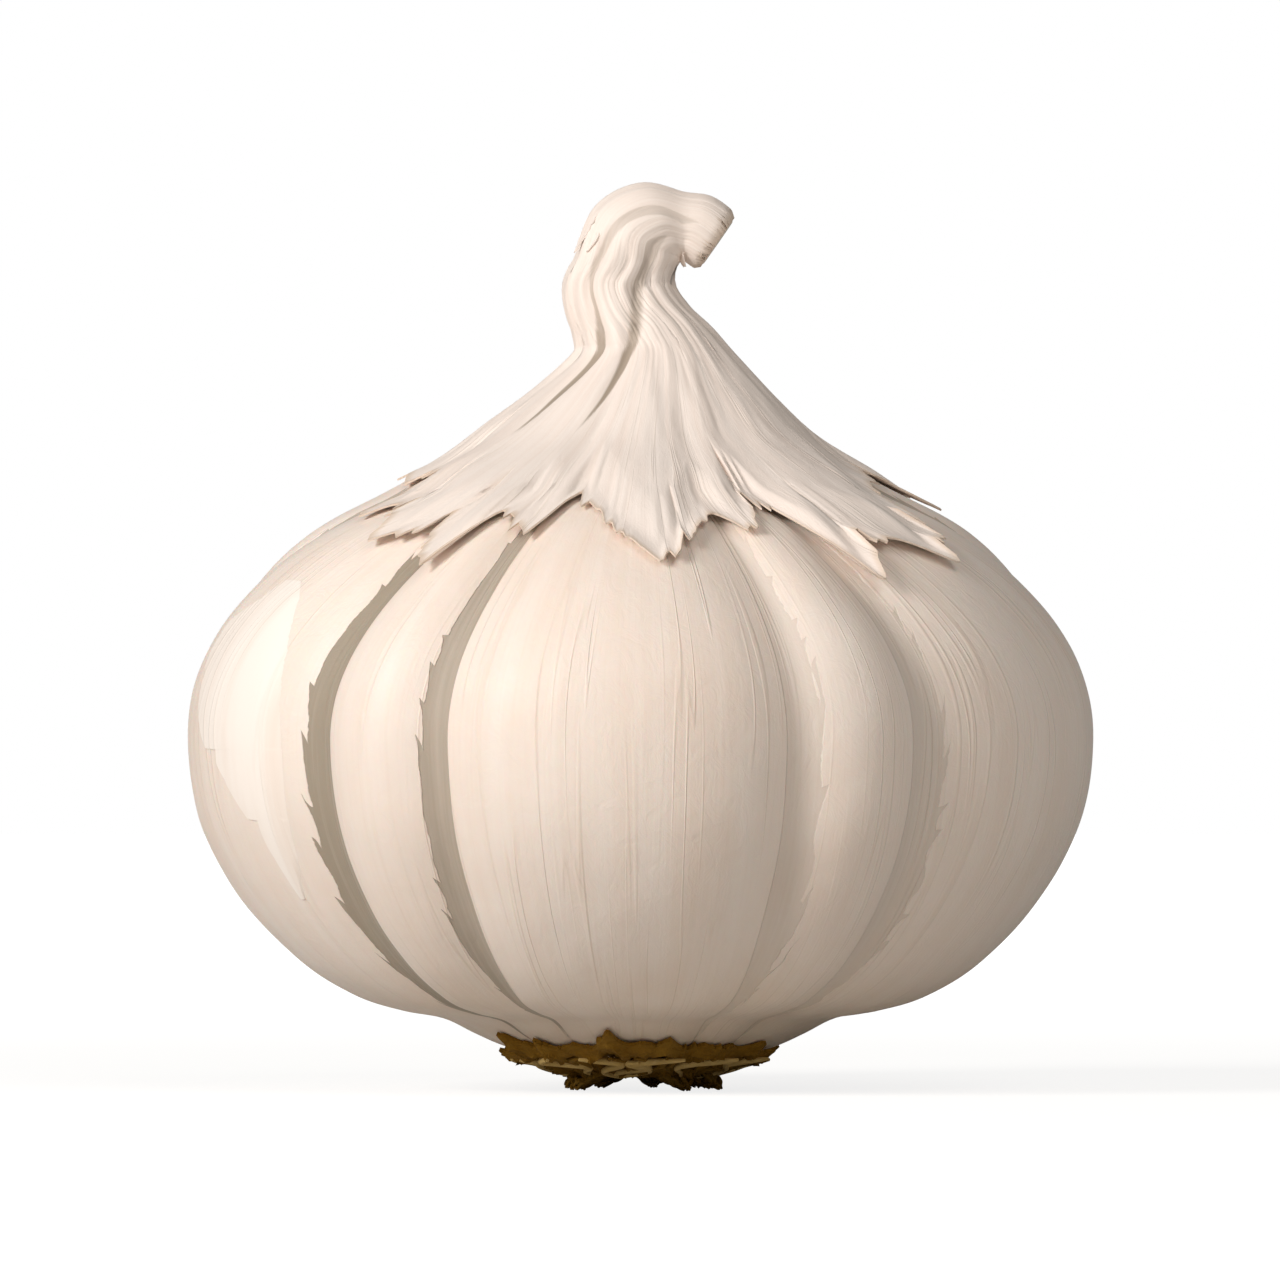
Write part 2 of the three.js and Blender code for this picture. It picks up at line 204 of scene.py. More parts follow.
def station_at_height(height):
    return np.interp(height, RISE_HEIGHT, RISE)


def station_at_radius(radius):
    return np.interp(radius, UNDERSIDE_RADIUS, UNDERSIDE)


def station_at_length(length):
    return np.interp(length, PROFILE_LENGTH, PROFILE)


def length_at_station(station):
    return np.interp(station, PROFILE, PROFILE_LENGTH)


print("length of the skin from the roots to the neck's end:", round(PROFILE_LENGTH[-1], 1), "mm")

# %% [markdown]
# ## The folds of the neck
# As the leaves dry, the neck shrinks and its skin gathers into long folds that wander as they climb. Two
# deep ones show at the front, and old sap has stained them. Each is a path of directions over the
# stations, which is all that a fold needs, because its dent is the same rounded valley all the way along.

# %% The paths of the folds
PATH_STATIONS = [15, 16, 17, 18, 19, 20, 21, 22, 23, 24, 25]
LEFT_FOLD = [-48, -47, -45, -40, -32, -32, -38, -24, -17, -10, -8]  # directions in degrees
LEFT_STAIN = [0, 0.25, 0.36, 0.34, 0.17, 0.18, 0.26, 0.38, 0.4, 0.3, 0]  # half widths
MIDDLE_FOLD = [-24, -22, -20, -9, 9, 22, 22, 24, 23, 22, 22]
MIDDLE_STAIN = [0, 0.14, 0.33, 0.36, 0.36, 0.37, 0.43, 0.55, 0, 0, 0]
STAIN_SHADE = [1, 1, 0.95, 0.85, 0.72, 0.62, 0.52, 0.42, 0.36, 0.34, 0.34]
TWIST = [-3, 0, 3, 6, 10, 14, 20, 24, 26, 26, 26]
OTHER_FOLDS = [66, 92, 117, 142, 167, -168, -143, -118, -93, -70]  # each starts in this direction and twists
FOLD_DENT, FOLD_HALF_WIDTH = 0.4, 0.55
OTHER_SHARE, END_SHARE = 0.5, 0.3  # of the full dent, round the back and on the folded end


def along_neck(station, values):
    """A value between those of the paths."""
    return np.interp(station, PATH_STATIONS, values)


def wrapped(angle):
    """The same direction between -180 and 180 degrees."""
    return (angle + 180) % 360 - 180


print("folds round the neck:", 2 + len(OTHER_FOLDS))

# %% [markdown]
# ## Dents and stains
# At each point the nearest fold counts, which the largest of all dents gives without any searching. A
# bell curve makes the valley and a smooth step makes the edge of a stain. The folds grow from the foot of
# the neck, and they calm down on the folded end, where the skin is drawn tight.

# %% The dent and the stain at a point
def smooth(low, high, value):
    """0 below low and 1 above high, with a smooth climb between."""
    share = np.clip((value - low) / (high - low), 0, 1)
    return share * share * (3 - 2 * share)


def neck_folds(angle, station):
    """The dent of the folds, from 0 to 1, and how darkly the two front ones are stained."""
    rows = between(station)
    half, turn = rows[..., 0], gathered(angle, rows[..., 3])
    dent, stain = 0 * half, 0 * half
    for path, widths in [(LEFT_FOLD, LEFT_STAIN), (MIDDLE_FOLD, MIDDLE_STAIN)]:
        away = np.abs(np.radians(wrapped(turn - along_neck(station, path)))) * half
        dent = np.maximum(dent, np.exp(-(away / FOLD_HALF_WIDTH) ** 2))
        wide = along_neck(station, widths)
        stain = np.maximum(stain, smooth(-0.06, 0.06, wide - away) * smooth(0, 0.1, wide))
    for start in OTHER_FOLDS:
        away = np.radians(wrapped(turn - start - along_neck(station, TWIST))) * half
        dent = np.maximum(dent, OTHER_SHARE * np.exp(-(away / FOLD_HALF_WIDTH) ** 2))
    grow = smooth(NECK_FOOT - 1.2, NECK_FOOT + 1.2, station)
    calm = 1 - (1 - END_SHARE) * smooth(FOLD_START - 1, FOLD_START + 1.5, station)
    return dent * grow * calm, stain * along_neck(station, STAIN_SHADE)


front_dent, front_stain = neck_folds(np.array([-22.0, 0.0]), np.array([16.5, 16.5]))
print("dent in and beside a fold:", front_dent.round(2), "stain:", front_stain.round(2))

# %% [markdown]
# ## A little unevenness
# No skin dries evenly. Perlin noise gives a bump that is the same each time, and it is read on a cylinder
# round the bulb, so that it closes behind. It is stretched along the bulb, because skin shrinks more
# across its fibres. Two more helpers belong here: the seams fade out in the stalk, and the cut end of the
# neck draws in as it dries.

# %% Noise, fading seams and the drawn-in end
END_NIP, END_STATIONS = 0.34, 0.4  # millimetres, over this last part of a station
BROAD_BUMPS, FINE_BUMPS = 0.22, 0.05  # millimetres
STALK_SEAMS = 0.15  # of their depth between the cloves


def wander(angle, along, fineness, seed):
    """Smooth noise from -1 to 1 over the bulb, from the angle round it and the length along it."""
    turn = np.radians(angle)
    round_it, up = fineness
    places = np.stack([np.cos(turn) * round_it, np.sin(turn) * round_it, along * up + seed], -1)
    flat = [noise.noise(Vector(place)) for place in places.reshape(-1, 3)]
    return np.array(flat).reshape(angle.shape)


def unevenness(angle, length):
    """The slight bumps of a skin that has dried over its cloves, in millimetres."""
    broad = wander(angle, length, (2.2, 0.07), 3.1)
    return BROAD_BUMPS * broad + FINE_BUMPS * wander(angle, length, (9.0, 0.25), 7.7)


def neck_seams(station):
    """The share of the seams that is left where the cloves end and the stalk begins."""
    return 1 - (1 - STALK_SEAMS) * smooth(NECK_FOOT - 1.5, NECK_FOOT + 1.5, station)


def nip(station):
    """How far the skin draws in at the cut end, in millimetres."""
    return END_NIP * smooth(LAST - END_STATIONS, LAST, station) ** 2


turn_once = np.linspace(-180, 180, 90)
print("bumps of up to", round(float(np.abs(unevenness(turn_once, 0 * turn_once + 30)).max()), 2), "mm")

# %% [markdown]
# ## Shaping a sheet
# A clove could be pulled out of a sphere with proportional editing, but ten unequal cloves under one skin
# can't be. So each sheet starts as a flat grid, and its points are put where the formula says, as a
# sculptor would press a sheet of clay onto a form. Everything is deselected first, because an operator
# acts on whatever is selected.

# %% A flat grid, pressed onto the form
def only(piece):
    """Selects this piece alone."""
    bpy.ops.object.select_all(action="DESELECT")
    piece.select_set(True)
    bpy.context.view_layer.objects.active = piece


def flat_grid(name, across, along):
    """A flat grid, with each point's share across and along it, from 0 to 1."""
    bpy.ops.object.select_all(action="DESELECT")
    bpy.ops.mesh.primitive_grid_add(x_subdivisions=across, y_subdivisions=along, size=2)
    piece = bpy.context.object
    piece.name = name
    piece.data.name = name
    places = np.empty(len(piece.data.vertices) * 3)
    piece.data.vertices.foreach_get("co", places)
    places = places.reshape(-1, 3)
    return piece, (places[:, 0] + 1) / 2, (places[:, 1] + 1) / 2


def press(piece, points):
    """Puts the grid's points where they belong, from millimetres."""
    piece.data.vertices.foreach_set("co", (points * MM).ravel())
    piece.data.update()


print("a grid is pressed onto the bulb in millimetres and kept in metres")

# %% [markdown]
# ## Numbers that stay on the points
# A finish has to know where the fibres run, how near a seam is and where the skin is torn. Only the
# formula knows that, so the numbers are stored on the points as attributes, which the shader reads by
# name. The fibres' place is kept on a circle round the bulb, again so that no pattern breaks where the
# sheet closes.

# %% Attributes for the finish
FIBRE_CIRCLE = 12


def keep(piece, name, values):
    """Stores a number or a vector for each point, which the finish reads."""
    kind = "FLOAT" if values.ndim == 1 else "FLOAT_VECTOR"
    layer = piece.data.attributes.new(name, kind, "POINT")
    layer.data.foreach_set("value" if values.ndim == 1 else "vector", values.astype(float).ravel())


def keep_fibres(piece, angle, length, station):
    """The place that fibres follow, round the bulb and along it, and how far apart they lie, from 0 to 1."""
    turn = np.radians(angle)
    place = np.stack([FIBRE_CIRCLE * np.cos(turn), FIBRE_CIRCLE * np.sin(turn), length], -1)
    keep(piece, "fibre_place", place)
    keep(piece, "fibre_space", between(station)[..., 0] / ROWS[:, 0].max())


print("fibres are", FIBRE_CIRCLE, "mm from the axis in their own pattern, and closer in the neck")

# %% [markdown]
# ## Closing and finishing a piece
# A pressed grid still has two sides that only touch. Merging doubles joins them, and then the normals are
# turned outwards, in that order, before any Solidify gives the sheet its thickness. Each piece then gets
# smooth shading, which leaves torn edges crisp, its finish, and its place in the frame.

# %% Close, apply and finish
CRISP_EDGE = math.radians(60)


def close(piece, reach):
    """Merges the points that meet and turns the faces outwards."""
    only(piece)
    bpy.ops.object.mode_set(mode="EDIT")
    bpy.ops.mesh.select_all(action="SELECT")
    bpy.ops.mesh.remove_doubles(threshold=reach * MM)
    bpy.ops.mesh.normals_make_consistent(inside=False)
    bpy.ops.object.mode_set(mode="OBJECT")


def thicken(piece, thickness):
    """Gives a sheet its thickness, half on each side."""
    only(piece)
    wall = piece.modifiers.new("wall", "SOLIDIFY")
    wall.thickness = thickness * MM
    wall.offset = 0.0
    bpy.ops.object.modifier_apply(modifier=wall.name)


def finish_piece(piece, node, material):
    """Smooth shading, one material, and the piece's place in the frame."""
    only(piece)
    bpy.ops.object.shade_smooth_by_angle(angle=CRISP_EDGE)
    piece.data.materials.clear()
    piece.data.materials.append(material)
    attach(piece, "root")
    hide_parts(node)
    size = [round(d / MM, 1) for d in piece.dimensions]
    print(piece.name, "has", len(piece.data.polygons), "faces and measures", size, "mm")


print("edges sharper than", round(math.degrees(CRISP_EDGE)), "degrees stay crisp")

# %% [markdown]
# ## Shader sums
# A finish is easier to read as a sum than as a page of nodes. One small class stands for a socket. When
# two of them are added, or a number is taken away from one, the class adds the Math node, so `1 - mask`
# is all one writes.

# %% A socket that adds up
class Sum:
    """A socket that can be used in sums."""

    def __init__(self, finish, socket):
        self.finish = finish
        self.socket = socket

    def math(self, operation, *others, clamp=False):
        values = dict(enumerate([self, *others]))
        return self.finish.node("ShaderNodeMath", {"operation": operation, "use_clamp": clamp}, values)

    def __add__(self, other):
        return self.math("ADD", other)

    def __sub__(self, other):
        return self.math("SUBTRACT", other)

    def __mul__(self, other):
        return self.math("MULTIPLY", other)

    def __pow__(self, other):
        return self.math("POWER", other)

    def __radd__(self, other):
        return self + other

    def __rmul__(self, other):
        return self * other

    def __rsub__(self, other):
        return self * -1 + other

    def step(self, low, high):
        """0 below low and 1 above high, with a smooth climb between."""
        values = {"Value": self, "From Min": low, "From Max": high}
        return self.finish.node("ShaderNodeMapRange", {"interpolation_type": "SMOOTHSTEP"}, values)


print("sums are written with +, -, * and **")

# %% [markdown]
# ## One method for every other node
# A finish holds one Principled shader. What is the same all over, such as the sheen, is set on the
# shader's own socket, because it needs no node. Every other node comes from one method, which takes its
# type, its settings and what goes into its sockets. Colours are blended by Mix nodes, since a Math node
# would turn them grey.

# %% The finish writer
class Finish:
    """A material whose nodes are written as sums."""

    def __init__(self, name, constants):
        self.material = bpy.data.materials.new(name)
        self.material.use_nodes = True
        self.tree = self.material.node_tree
        self.surface = self.tree.nodes["Principled BSDF"]
        for socket, value in constants.items():
            self.surface.inputs[socket].default_value = value

    def node(self, kind, settings, values, output=0):
        made = self.tree.nodes.new(kind)
        for key, value in settings.items():
            setattr(made, key, value)
        for key, value in values.items():
            self.plug(made.inputs[key], value)
        return Sum(self, made.outputs[output])

    def plug(self, socket, value):
        if isinstance(value, Sum):
            self.tree.links.new(value.socket, socket)
        else:
            socket.default_value = value

    def set(self, socket, value):
        self.plug(self.surface.inputs[socket], value)

    def number(self, name):
        """A number that was kept on the points."""
        return self.node("ShaderNodeAttribute", {"attribute_name": name}, {}, "Fac")

    def place(self, name):
        """A vector that was kept on the points."""
        return self.node("ShaderNodeAttribute", {"attribute_name": name}, {}, "Vector")

    def spot(self):
        """The place on the piece in metres."""
        return self.node("ShaderNodeTexCoord", {}, {}, "Object")

    def third(self, vector):
        return self.node("ShaderNodeSeparateXYZ", {}, {"Vector": vector}, "Z")

    def cloud(self, place, scale, detail, roughness=0.5, distortion=0.0):
        """Noise from 0 to 1, scaled alike on all axes, or by three numbers and so stretched."""
        if isinstance(scale, tuple):
            place = self.node("ShaderNodeVectorMath", {"operation": "MULTIPLY"}, {0: place, 1: scale})
            scale = 1.0
        values = {"Vector": place, "Scale": scale, "Detail": detail}
        values |= {"Roughness": roughness, "Distortion": distortion}
        return self.node("ShaderNodeTexNoise", {}, values)

    def blend(self, share, first, second):
        """A colour between two colours."""
        settings = {"data_type": "RGBA", "blend_type": "MIX"}
        return self.node("ShaderNodeMix", settings, {0: share, 6: first, 7: second}, 2)

    def relief(self, height, millimetres):
        """Turns a height from 0 to 1 into a bump of that many millimetres."""
        values = {"Height": height, "Distance": millimetres * MM, "Strength": 1.0}
        self.set("Normal", self.node("ShaderNodeBump", {}, values))


print("a finish writes its own nodes")

# %% [markdown]
# ## Colours of dry skin
# Garlic skin is off-white and a little pink, with warmer veins. Where it is older it turns taupe, and at
# the roots dusty. Colours are given as the six-digit codes of a paint chart and made linear, as Blender
# wants them.

# %% The palette of the skin
def colour(code):
    """A linear colour from the six-digit code that a paint chart gives."""
    parts = [int(code[i:i + 2], 16) / 255 for i in (0, 2, 4)]
    linear = [p / 12.92 if p <= 0.04045 else ((p + 0.055) / 1.055) ** 2.4 for p in parts]
    return (*linear, 1.0)


CREAM = colour("F8EADF")
BLUSH = colour("F0DCCC")
VEIN = colour("E2CBB6")
TAUPE = colour("A49684")
STAIN = colour("9F8E7B")
UMBER = colour("8C7458")
DUST = colour("D9C4A8")
DRY_SKIN = {"IOR": 1.42, "Sheen Weight": 0.12}
print("cream is", [round(part, 2) for part in CREAM[:3]], "in linear light")

# %% [markdown]
# ## Fibres
# Skin fibres run from the roots to the neck. Noise that is squeezed along them turns into streaks. The
# thin veins are ridges: the places where one slow noise passes its middle value, which happens on long
# lines. A second noise chooses where veins show at all, so that they stay sparse.

# %% Streaks, veins and hair-thin lines
STREAKS, COURSES = (1.0, 1.0, 0.035), (1.1, 1.1, 0.03)
VEINS, HAIRS = (2.3, 2.3, 0.035), (8.0, 8.0, 0.08)
VEIN_FINENESS = 22.0


def skin_fibres(finish, place):
    """Broad streaks, sparse veins and hair-thin lines along the fibres, each from 0 to 1."""
    streak = finish.cloud(place, STREAKS, 4.0, 0.55, 0.3)
    course = finish.cloud(place, COURSES, 1.0, 0.5, 0.4)
    vein = finish.cloud(place, VEINS, 1.0, 0.5, 0.25)
    hair = finish.cloud(place, HAIRS, 2.0, 0.5, 0.2)
    ridge = 1 - ((vein - 0.5).math("ABSOLUTE") * VEIN_FINENESS).math("MINIMUM", 1.0)
    return streak, ridge * course.step(0.42, 0.62), hair


print("veins are", round(1 / VEINS[0], 1), "mm apart and", round(1 / VEINS[2]), "mm long or so")

# %% [markdown]
# ## Stripes in the seams
# In the seams the skin is older and browner. Each stripe is a mask on the distance to its seam: even on
# the side that faces the front clove, and torn into upward barbs on the other, where the fibres gave way
# one after another. A sawtooth along the seam makes the barbs, and drifting noise keeps them from being
# regular.

# %% The mask of a stripe
STRIPE_INNER, STRIPE_OUTER = 1.0, 1.25  # millimetres on either side of the seam
STRIPE_FOOT, STRIPE_WAIST, STRIPE_TOP = (1.8, 13.0), (26.0, 42.0), (40.0, 46.0)  # heights where it tapers
STRIPE_NARROWING = 0.4
BARB_SPACING, BARB_REACH, TEAR_REACH = 4.6, 0.5, 0.75


def seam_stripe(skin, place, height):
    """A dark stripe over each seam: smooth on its inner side, with torn barbs on its outer side."""
    gap, side = skin.number("seam_gap"), skin.number("seam_side")
    drift = skin.cloud(place, (0.5, 0.5, 0.13), 1.0)
    tear = skin.cloud(place, (1.2, 1.2, 0.4), 3.0, 0.6, 0.5)
    barb = ((skin.third(place) - gap * 1.6) * (1 / BARB_SPACING) + drift * 4.0).math("FRACT") ** 3.0
    upper = (1 - height.step(*STRIPE_WAIST) * STRIPE_NARROWING) * (1 - height.step(*STRIPE_TOP))
    taper = height.step(*STRIPE_FOOT) * upper
    inner = taper * STRIPE_INNER
    outer = taper * (barb * BARB_REACH + (tear - 0.5) * TEAR_REACH + STRIPE_OUTER)
    edge = inner + (outer - inner) * (side * 0.5 + 0.5)
    return (edge - gap).step(-0.04, 0.06) * taper.step(0.0, 0.08)


print("stripes are about", STRIPE_INNER + STRIPE_OUTER, "mm wide")

# %% [markdown]
# ## The papery skin's finish
# Everything comes together as layers of colour, palest first: mottled cream, veins, dust round the roots,
# the stripes, the stains of the neck and the dark dried hollow of the cut stalk. Satin roughness, a
# little sheen and some light passing through make it papery. The relief is finer where the fibres crowd,
# or the neck would look like bark.

# %% The finish of the cloves
GLOW_THROUGH = {"Subsurface Weight": 0.12, "Subsurface Scale": 1.1 * MM}
CRINKLE = (1.6, 1.6, 0.5)
SKIN_RELIEF = 0.12
DUST_HEIGHTS = (3.0, 11.0)  # dusty below the first, clean above the second
STAINING, DUSTING = 0.9, 0.75  # how much of the colour below they cover at most


def clove_skin():
    skin = Finish("clove_skin", {**DRY_SKIN, **GLOW_THROUGH})
    place, spot = skin.place("fibre_place"), skin.spot()
    height = skin.third(spot) * (1 / MM)
    streak, ridge, hair = skin_fibres(skin, place)
    mottle = skin.cloud(spot, 55.0, 4.0, 0.6)
    shade = skin.blend((mottle * 0.7 + streak * 0.6 - 0.3).step(0.15, 0.75), CREAM, BLUSH)
    shade = skin.blend((ridge * 0.3 + (hair - 0.5) * 0.55).math("MAXIMUM", 0.0) * 0.75, shade, VEIN)
    dusty = (1 - height.step(*DUST_HEIGHTS)) * (mottle * 1.3 - 0.1)
    shade = skin.blend(dusty.math("MULTIPLY", DUSTING, clamp=True), shade, DUST)
    stripe = seam_stripe(skin, place, height)
    # Each seam's stripe darkness is partly its own colour and partly painted light, paler in the shaded right
    # front seams.
    shade = skin.blend(stripe * skin.number("seam_stain_and_painted_light") * (hair * 0.4 + 0.8), shade, TAUPE)
    shade = skin.blend(skin.number("stain") * STAINING, shade, STAIN)
    shade = skin.blend(skin.number("hollow"), shade, UMBER)
    skin.set("Base Color", shade)
    skin.set("Roughness", 0.4 + mottle * 0.16 + stripe * 0.12)
    crinkle = skin.cloud(place, CRINKLE, 5.0, 0.6, 1.2)
    fibres = (ridge * 0.3 + hair * 0.1 + crinkle * 0.5) * skin.number("fibre_space")
    skin.relief(fibres - stripe * 0.5, SKIN_RELIEF)
    return skin.material


CLOVE_SKIN = clove_skin()
print("nodes in the skin's finish:", len(CLOVE_SKIN.node_tree.nodes))

# %% [markdown]
# ## How far a seam is
# The stripes need the distance to the nearest seam, and on which side of it a point lies. Each seam has a
# width and a darkness of its own. The darkness varies a little from seam to seam, and on the two front
# seams at the right it is much lower, as painted light, because shade already falls in those seams.
# Dividing the distance by the width lets one mask draw them all.

# %% The nearest seam
# The darkness column is partly the stripes' own colour and partly painted light: the third and fourth seams
# are painted paler because they lie in shade.
SEAM_STAINS_AND_PAINTED_LIGHT = [
    [1.15, 1.0], [0.88, 0.8], [1.15, 0.22], [1.3, 0.26], [1.1, 0.7], [0.9, 0.8], [1.15, 0.6], [0.95, 0.75],
    [1.1, 0.85], [1.0, 0.7],
]  # width and darkness of the stripe in each seam in turn


def nearest_seam(angle, station):
    """Millimetres to the nearest seam, its side, 1 away from the bulb's front or -1, and which one it is."""
    away = wrapped(angle[..., None] - SEAMS[:-1])
    which = np.abs(away).argmin(-1)
    nearest = np.take_along_axis(away, which[..., None], -1)[..., 0]
    side = np.where(wrapped(angle - nearest) < 0, -1, 1) * np.sign(nearest)
    return np.abs(np.radians(nearest)) * between(station)[..., 0], side, which


def keep_seams(piece, angle, station):
    gap, side, which = nearest_seam(angle, station)
    width, shade = np.array(SEAM_STAINS_AND_PAINTED_LIGHT)[which].T
    keep(piece, "seam_gap", gap / width)
    keep(piece, "seam_side", side)
    keep(piece, "seam_stain_and_painted_light", shade)


front_gap = nearest_seam(np.array([0.0]), np.array([10.0]))[0]
print("the front of the bulb is", front_gap.round(1), "mm from a seam")

# %% [markdown]
# ## The cut end of the neck
# Where the stalk was cut, its layers have dried and sunk in, and left a shallow hollow with a soft rim.
# The last rows of the skin's grid make it: they keep their direction, but shrink towards the middle while
# they sink.

# %% Rings of the hollow
HOLLOW_SHARE = 0.05  # of the grid's rows
HOLLOW_STEPS = [0, 0.16, 0.32, 0.5, 0.7, 0.85, 1.0]
HOLLOW_SHRINK = [0, 0.06, 0.16, 0.34, 0.5, 0.62, 1.0]
HOLLOW_DEPTH = [0, -0.05, -0.05, 0.12, 0.5, 0.95, 1.05]
END_MIDDLE = np.array([ROWS[-1][2], 0, ROWS[-1][3]])
END_TIP = math.radians(ROWS[-1][4])
INWARDS = np.array([-math.sin(END_TIP), 0, -math.cos(END_TIP)])


def hollowed(points, into):
    """The end rows, drawn to the middle and sunk, for a share into the hollow from 0 to 1."""
    shrink = np.interp(into, HOLLOW_STEPS, HOLLOW_SHRINK)[:, None]
    depth = np.interp(into, HOLLOW_STEPS, HOLLOW_DEPTH)[:, None]
    return points + (END_MIDDLE - points) * shrink + INWARDS * depth


print("the hollow is", HOLLOW_DEPTH[-1], "mm deep")

# %% [markdown]
# ## The cloves in their skin
# The main piece follows the frame's bulb from the underside to the end of the folded neck. It adds what
# the solid leaves out: slight unevenness, the folds of the neck and the hollow end. The rows are spaced
# evenly along the skin and not along the stations, so that no face gets long and thin.

# %% Wrap the bulb
ACROSS, ALONG = 372, 232


def wrapped_bulb():
    piece, u, v = flat_grid("clove_wrap", ACROSS, ALONG)
    angle = -180 + 360 * u
    length = np.minimum(v / (1 - HOLLOW_SHARE), 1) * PROFILE_LENGTH[-1]
    station = station_at_length(length)
    dent, stain = neck_folds(angle, station)
    calm = smooth(0, 2.5, station) * (1 - smooth(LAST - 0.5, LAST, station))
    lift = (unevenness(angle, length) - FOLD_DENT * dent) * calm - nip(station)
    points = on_bulb(angle, station, lift, neck_seams(station))
    into = np.clip((v - (1 - HOLLOW_SHARE)) / HOLLOW_SHARE, 0, 1)
    press(piece, hollowed(points, into))
    keep_fibres(piece, angle, length, station)
    keep_seams(piece, angle, station)
    keep(piece, "stain", stain)
    keep(piece, "hollow", smooth(0.5, 0.85, into))
    close(piece, 0.004)
    finish_piece(piece, "bulb", CLOVE_SKIN)


wrapped_bulb()

# %% [markdown]
# ## Torn edges
# Paper tears in two ways at once: in long tips with notches between, and in short broken fibres along
# them. The long ones are chosen points round the bulb, joined by a curve that is sharp at the tips and
# round in the notches. The short ones are drawn at random, from a seed, so that they come out alike each
# time.

# %% Long tips and fine tears
def torn_edge(angle, outline, curve):
    """A value round the bulb between points in turn. The curve makes low points sharp and high ones round."""
    at = np.array([row[0] for row in outline] + [outline[0][0] + 360])
    values = np.array([row[1] for row in outline] + [outline[0][1]])
    turned = (angle - at[0]) % 360 + at[0]
    i = np.clip(np.searchsorted(at, turned, side="right") - 1, 0, len(outline) - 1)
    share = (turned - at[i]) / (at[i + 1] - at[i])
    first, second = values[i], values[i + 1]
    falling = first + (second - first) * share ** curve
    rising = second + (first - second) * (1 - share) ** curve
    return np.where(second < first, falling, rising)


def fine_tears(angle, seed, count, reach):
    """Short torn fibres along an edge, from 0 to reach: each is a narrow point."""
    draw = random.Random(seed)
    tears = np.zeros(angle.shape)
    for _ in range(count):
        middle = draw.uniform(-180, 180)
        half = draw.uniform(0.5, 1.7)
        length = reach * draw.uniform(0.25, 1.0) ** 2
        tears = np.maximum(tears, length * np.maximum(0, 1 - np.abs(wrapped(angle - middle)) / half))
    return tears


print("fine tears reach up to", round(float(fine_tears(turn_once, 5, 150, 0.8).max()), 2), "mm here")

# %% [markdown]
# ## A sheet that still clings
# On the left clove a long flake of the next sheet has stayed on, right where the key light falls most. It
# is painted paler than the skin round it, which is a painted highlight, and it lies almost flat, with a
# ragged left edge that ends in a point. It is another pressed grid, between a left and a right edge at
# each height, and notches in the left edge show where strips have broken off.

# %% The shape of the flake
FLAKE = [
    [35.2, -70.7, -67.2], [33.6, -72.1, -62], [32.0, -77.1, -58.4], [30.0, -76.8, -55.4],
    [27.2, -74, -53.4], [24.4, -70.8, -52.5], [22.4, -67.6, -52.6], [21.3, -64.5, -52.8],
    [18.7, -60.8, -53.4], [16.1, -58.2, -54], [13.3, -57, -56.2],
]  # height, left angle, right angle
FLAKE_NOTCHES = [(23.4, 3.2), (18.6, 1.8), (28.8, 1.0)]  # the height of each, and how deep in degrees
NOTCH_LENGTH = 2.6


def flake_edges(height):
    """The left and right edge as angles."""
    rows = np.array(FLAKE)[::-1]
    left, right = np.interp(height, rows[:, 0], rows[:, 1]), np.interp(height, rows[:, 0], rows[:, 2])
    for start, depth in FLAKE_NOTCHES:
        below = np.clip((start - height) / NOTCH_LENGTH, 0, 1)
        left = left + depth * np.where(height < start, (1 - below) ** 1.5, 0)
    return left, right


flake_left, flake_right = flake_edges(np.array([28.0]))
print("the flake spans", (flake_right - flake_left).round(1), "degrees at 28 mm")

# %% [markdown]
# ## The flake's finish and its sheet
# The flake is the palest skin of all. That paleness is a painted highlight, the brightest patch of the key
# light painted into its colour, so it has a finish of its own. It shares the fibres with the rest. Its edges
# are sunk a hair below the clove, because a fast edge has no gap.

# %% The clinging flake
# The flake's pale colour is a painted highlight.
FLAKE_PAINTED_HIGHLIGHT = colour("FFF5EC")
FLAKE_LIFT, FLAKE_SUNK, FLAKE_THICKNESS = 0.11, 0.04, 0.05
FLAKE_ACROSS, FLAKE_ALONG = 40, 220
FLAKE_RELIEF = 0.1


def flake_highlight_finish():
    flake = Finish("flake", DRY_SKIN)
    streak, ridge, hair = skin_fibres(flake, flake.place("fibre_place"))
    # Painted highlight: the flake's base colour is paler than the skin round it.
    flake.set("Base Color", flake.blend(streak.step(0.4, 0.8) * 0.6 + ridge * 0.15, FLAKE_PAINTED_HIGHLIGHT, BLUSH))
    flake.set("Roughness", 0.38 + hair * 0.15)
    flake.relief(ridge * 0.3 + hair * 0.1, FLAKE_RELIEF)
    return flake.material


def clinging_flake():
    piece, u, v = flat_grid("clinging_flake", FLAKE_ACROSS, FLAKE_ALONG)
    height = FLAKE[-1][0] + (FLAKE[0][0] - FLAKE[-1][0]) * v
    left, right = flake_edges(height)
    angle = left + (right - left) * u
    station = station_at_height(height)
    length = length_at_station(station)
    raised = smooth(0, 0.25, 1 - u) * smooth(0, 2.0, FLAKE[0][0] - height)
    lift = FLAKE_LIFT * raised - FLAKE_SUNK + unevenness(angle, length)
    press(piece, on_bulb(angle, station, lift))
    keep_fibres(piece, angle, length, station)
    close(piece, 0.002)
    thicken(piece, FLAKE_THICKNESS)
    finish_piece(piece, "bulb", flake_highlight_finish())


clinging_flake()

# %% [markdown]
# ## The hem of the outer skin
# The oldest sheet of skin has torn away below and still clings to the neck and shoulders. Its hem is what
# one sees first, so its tips and notches are the frame's own, written down again in turn round the bulb.

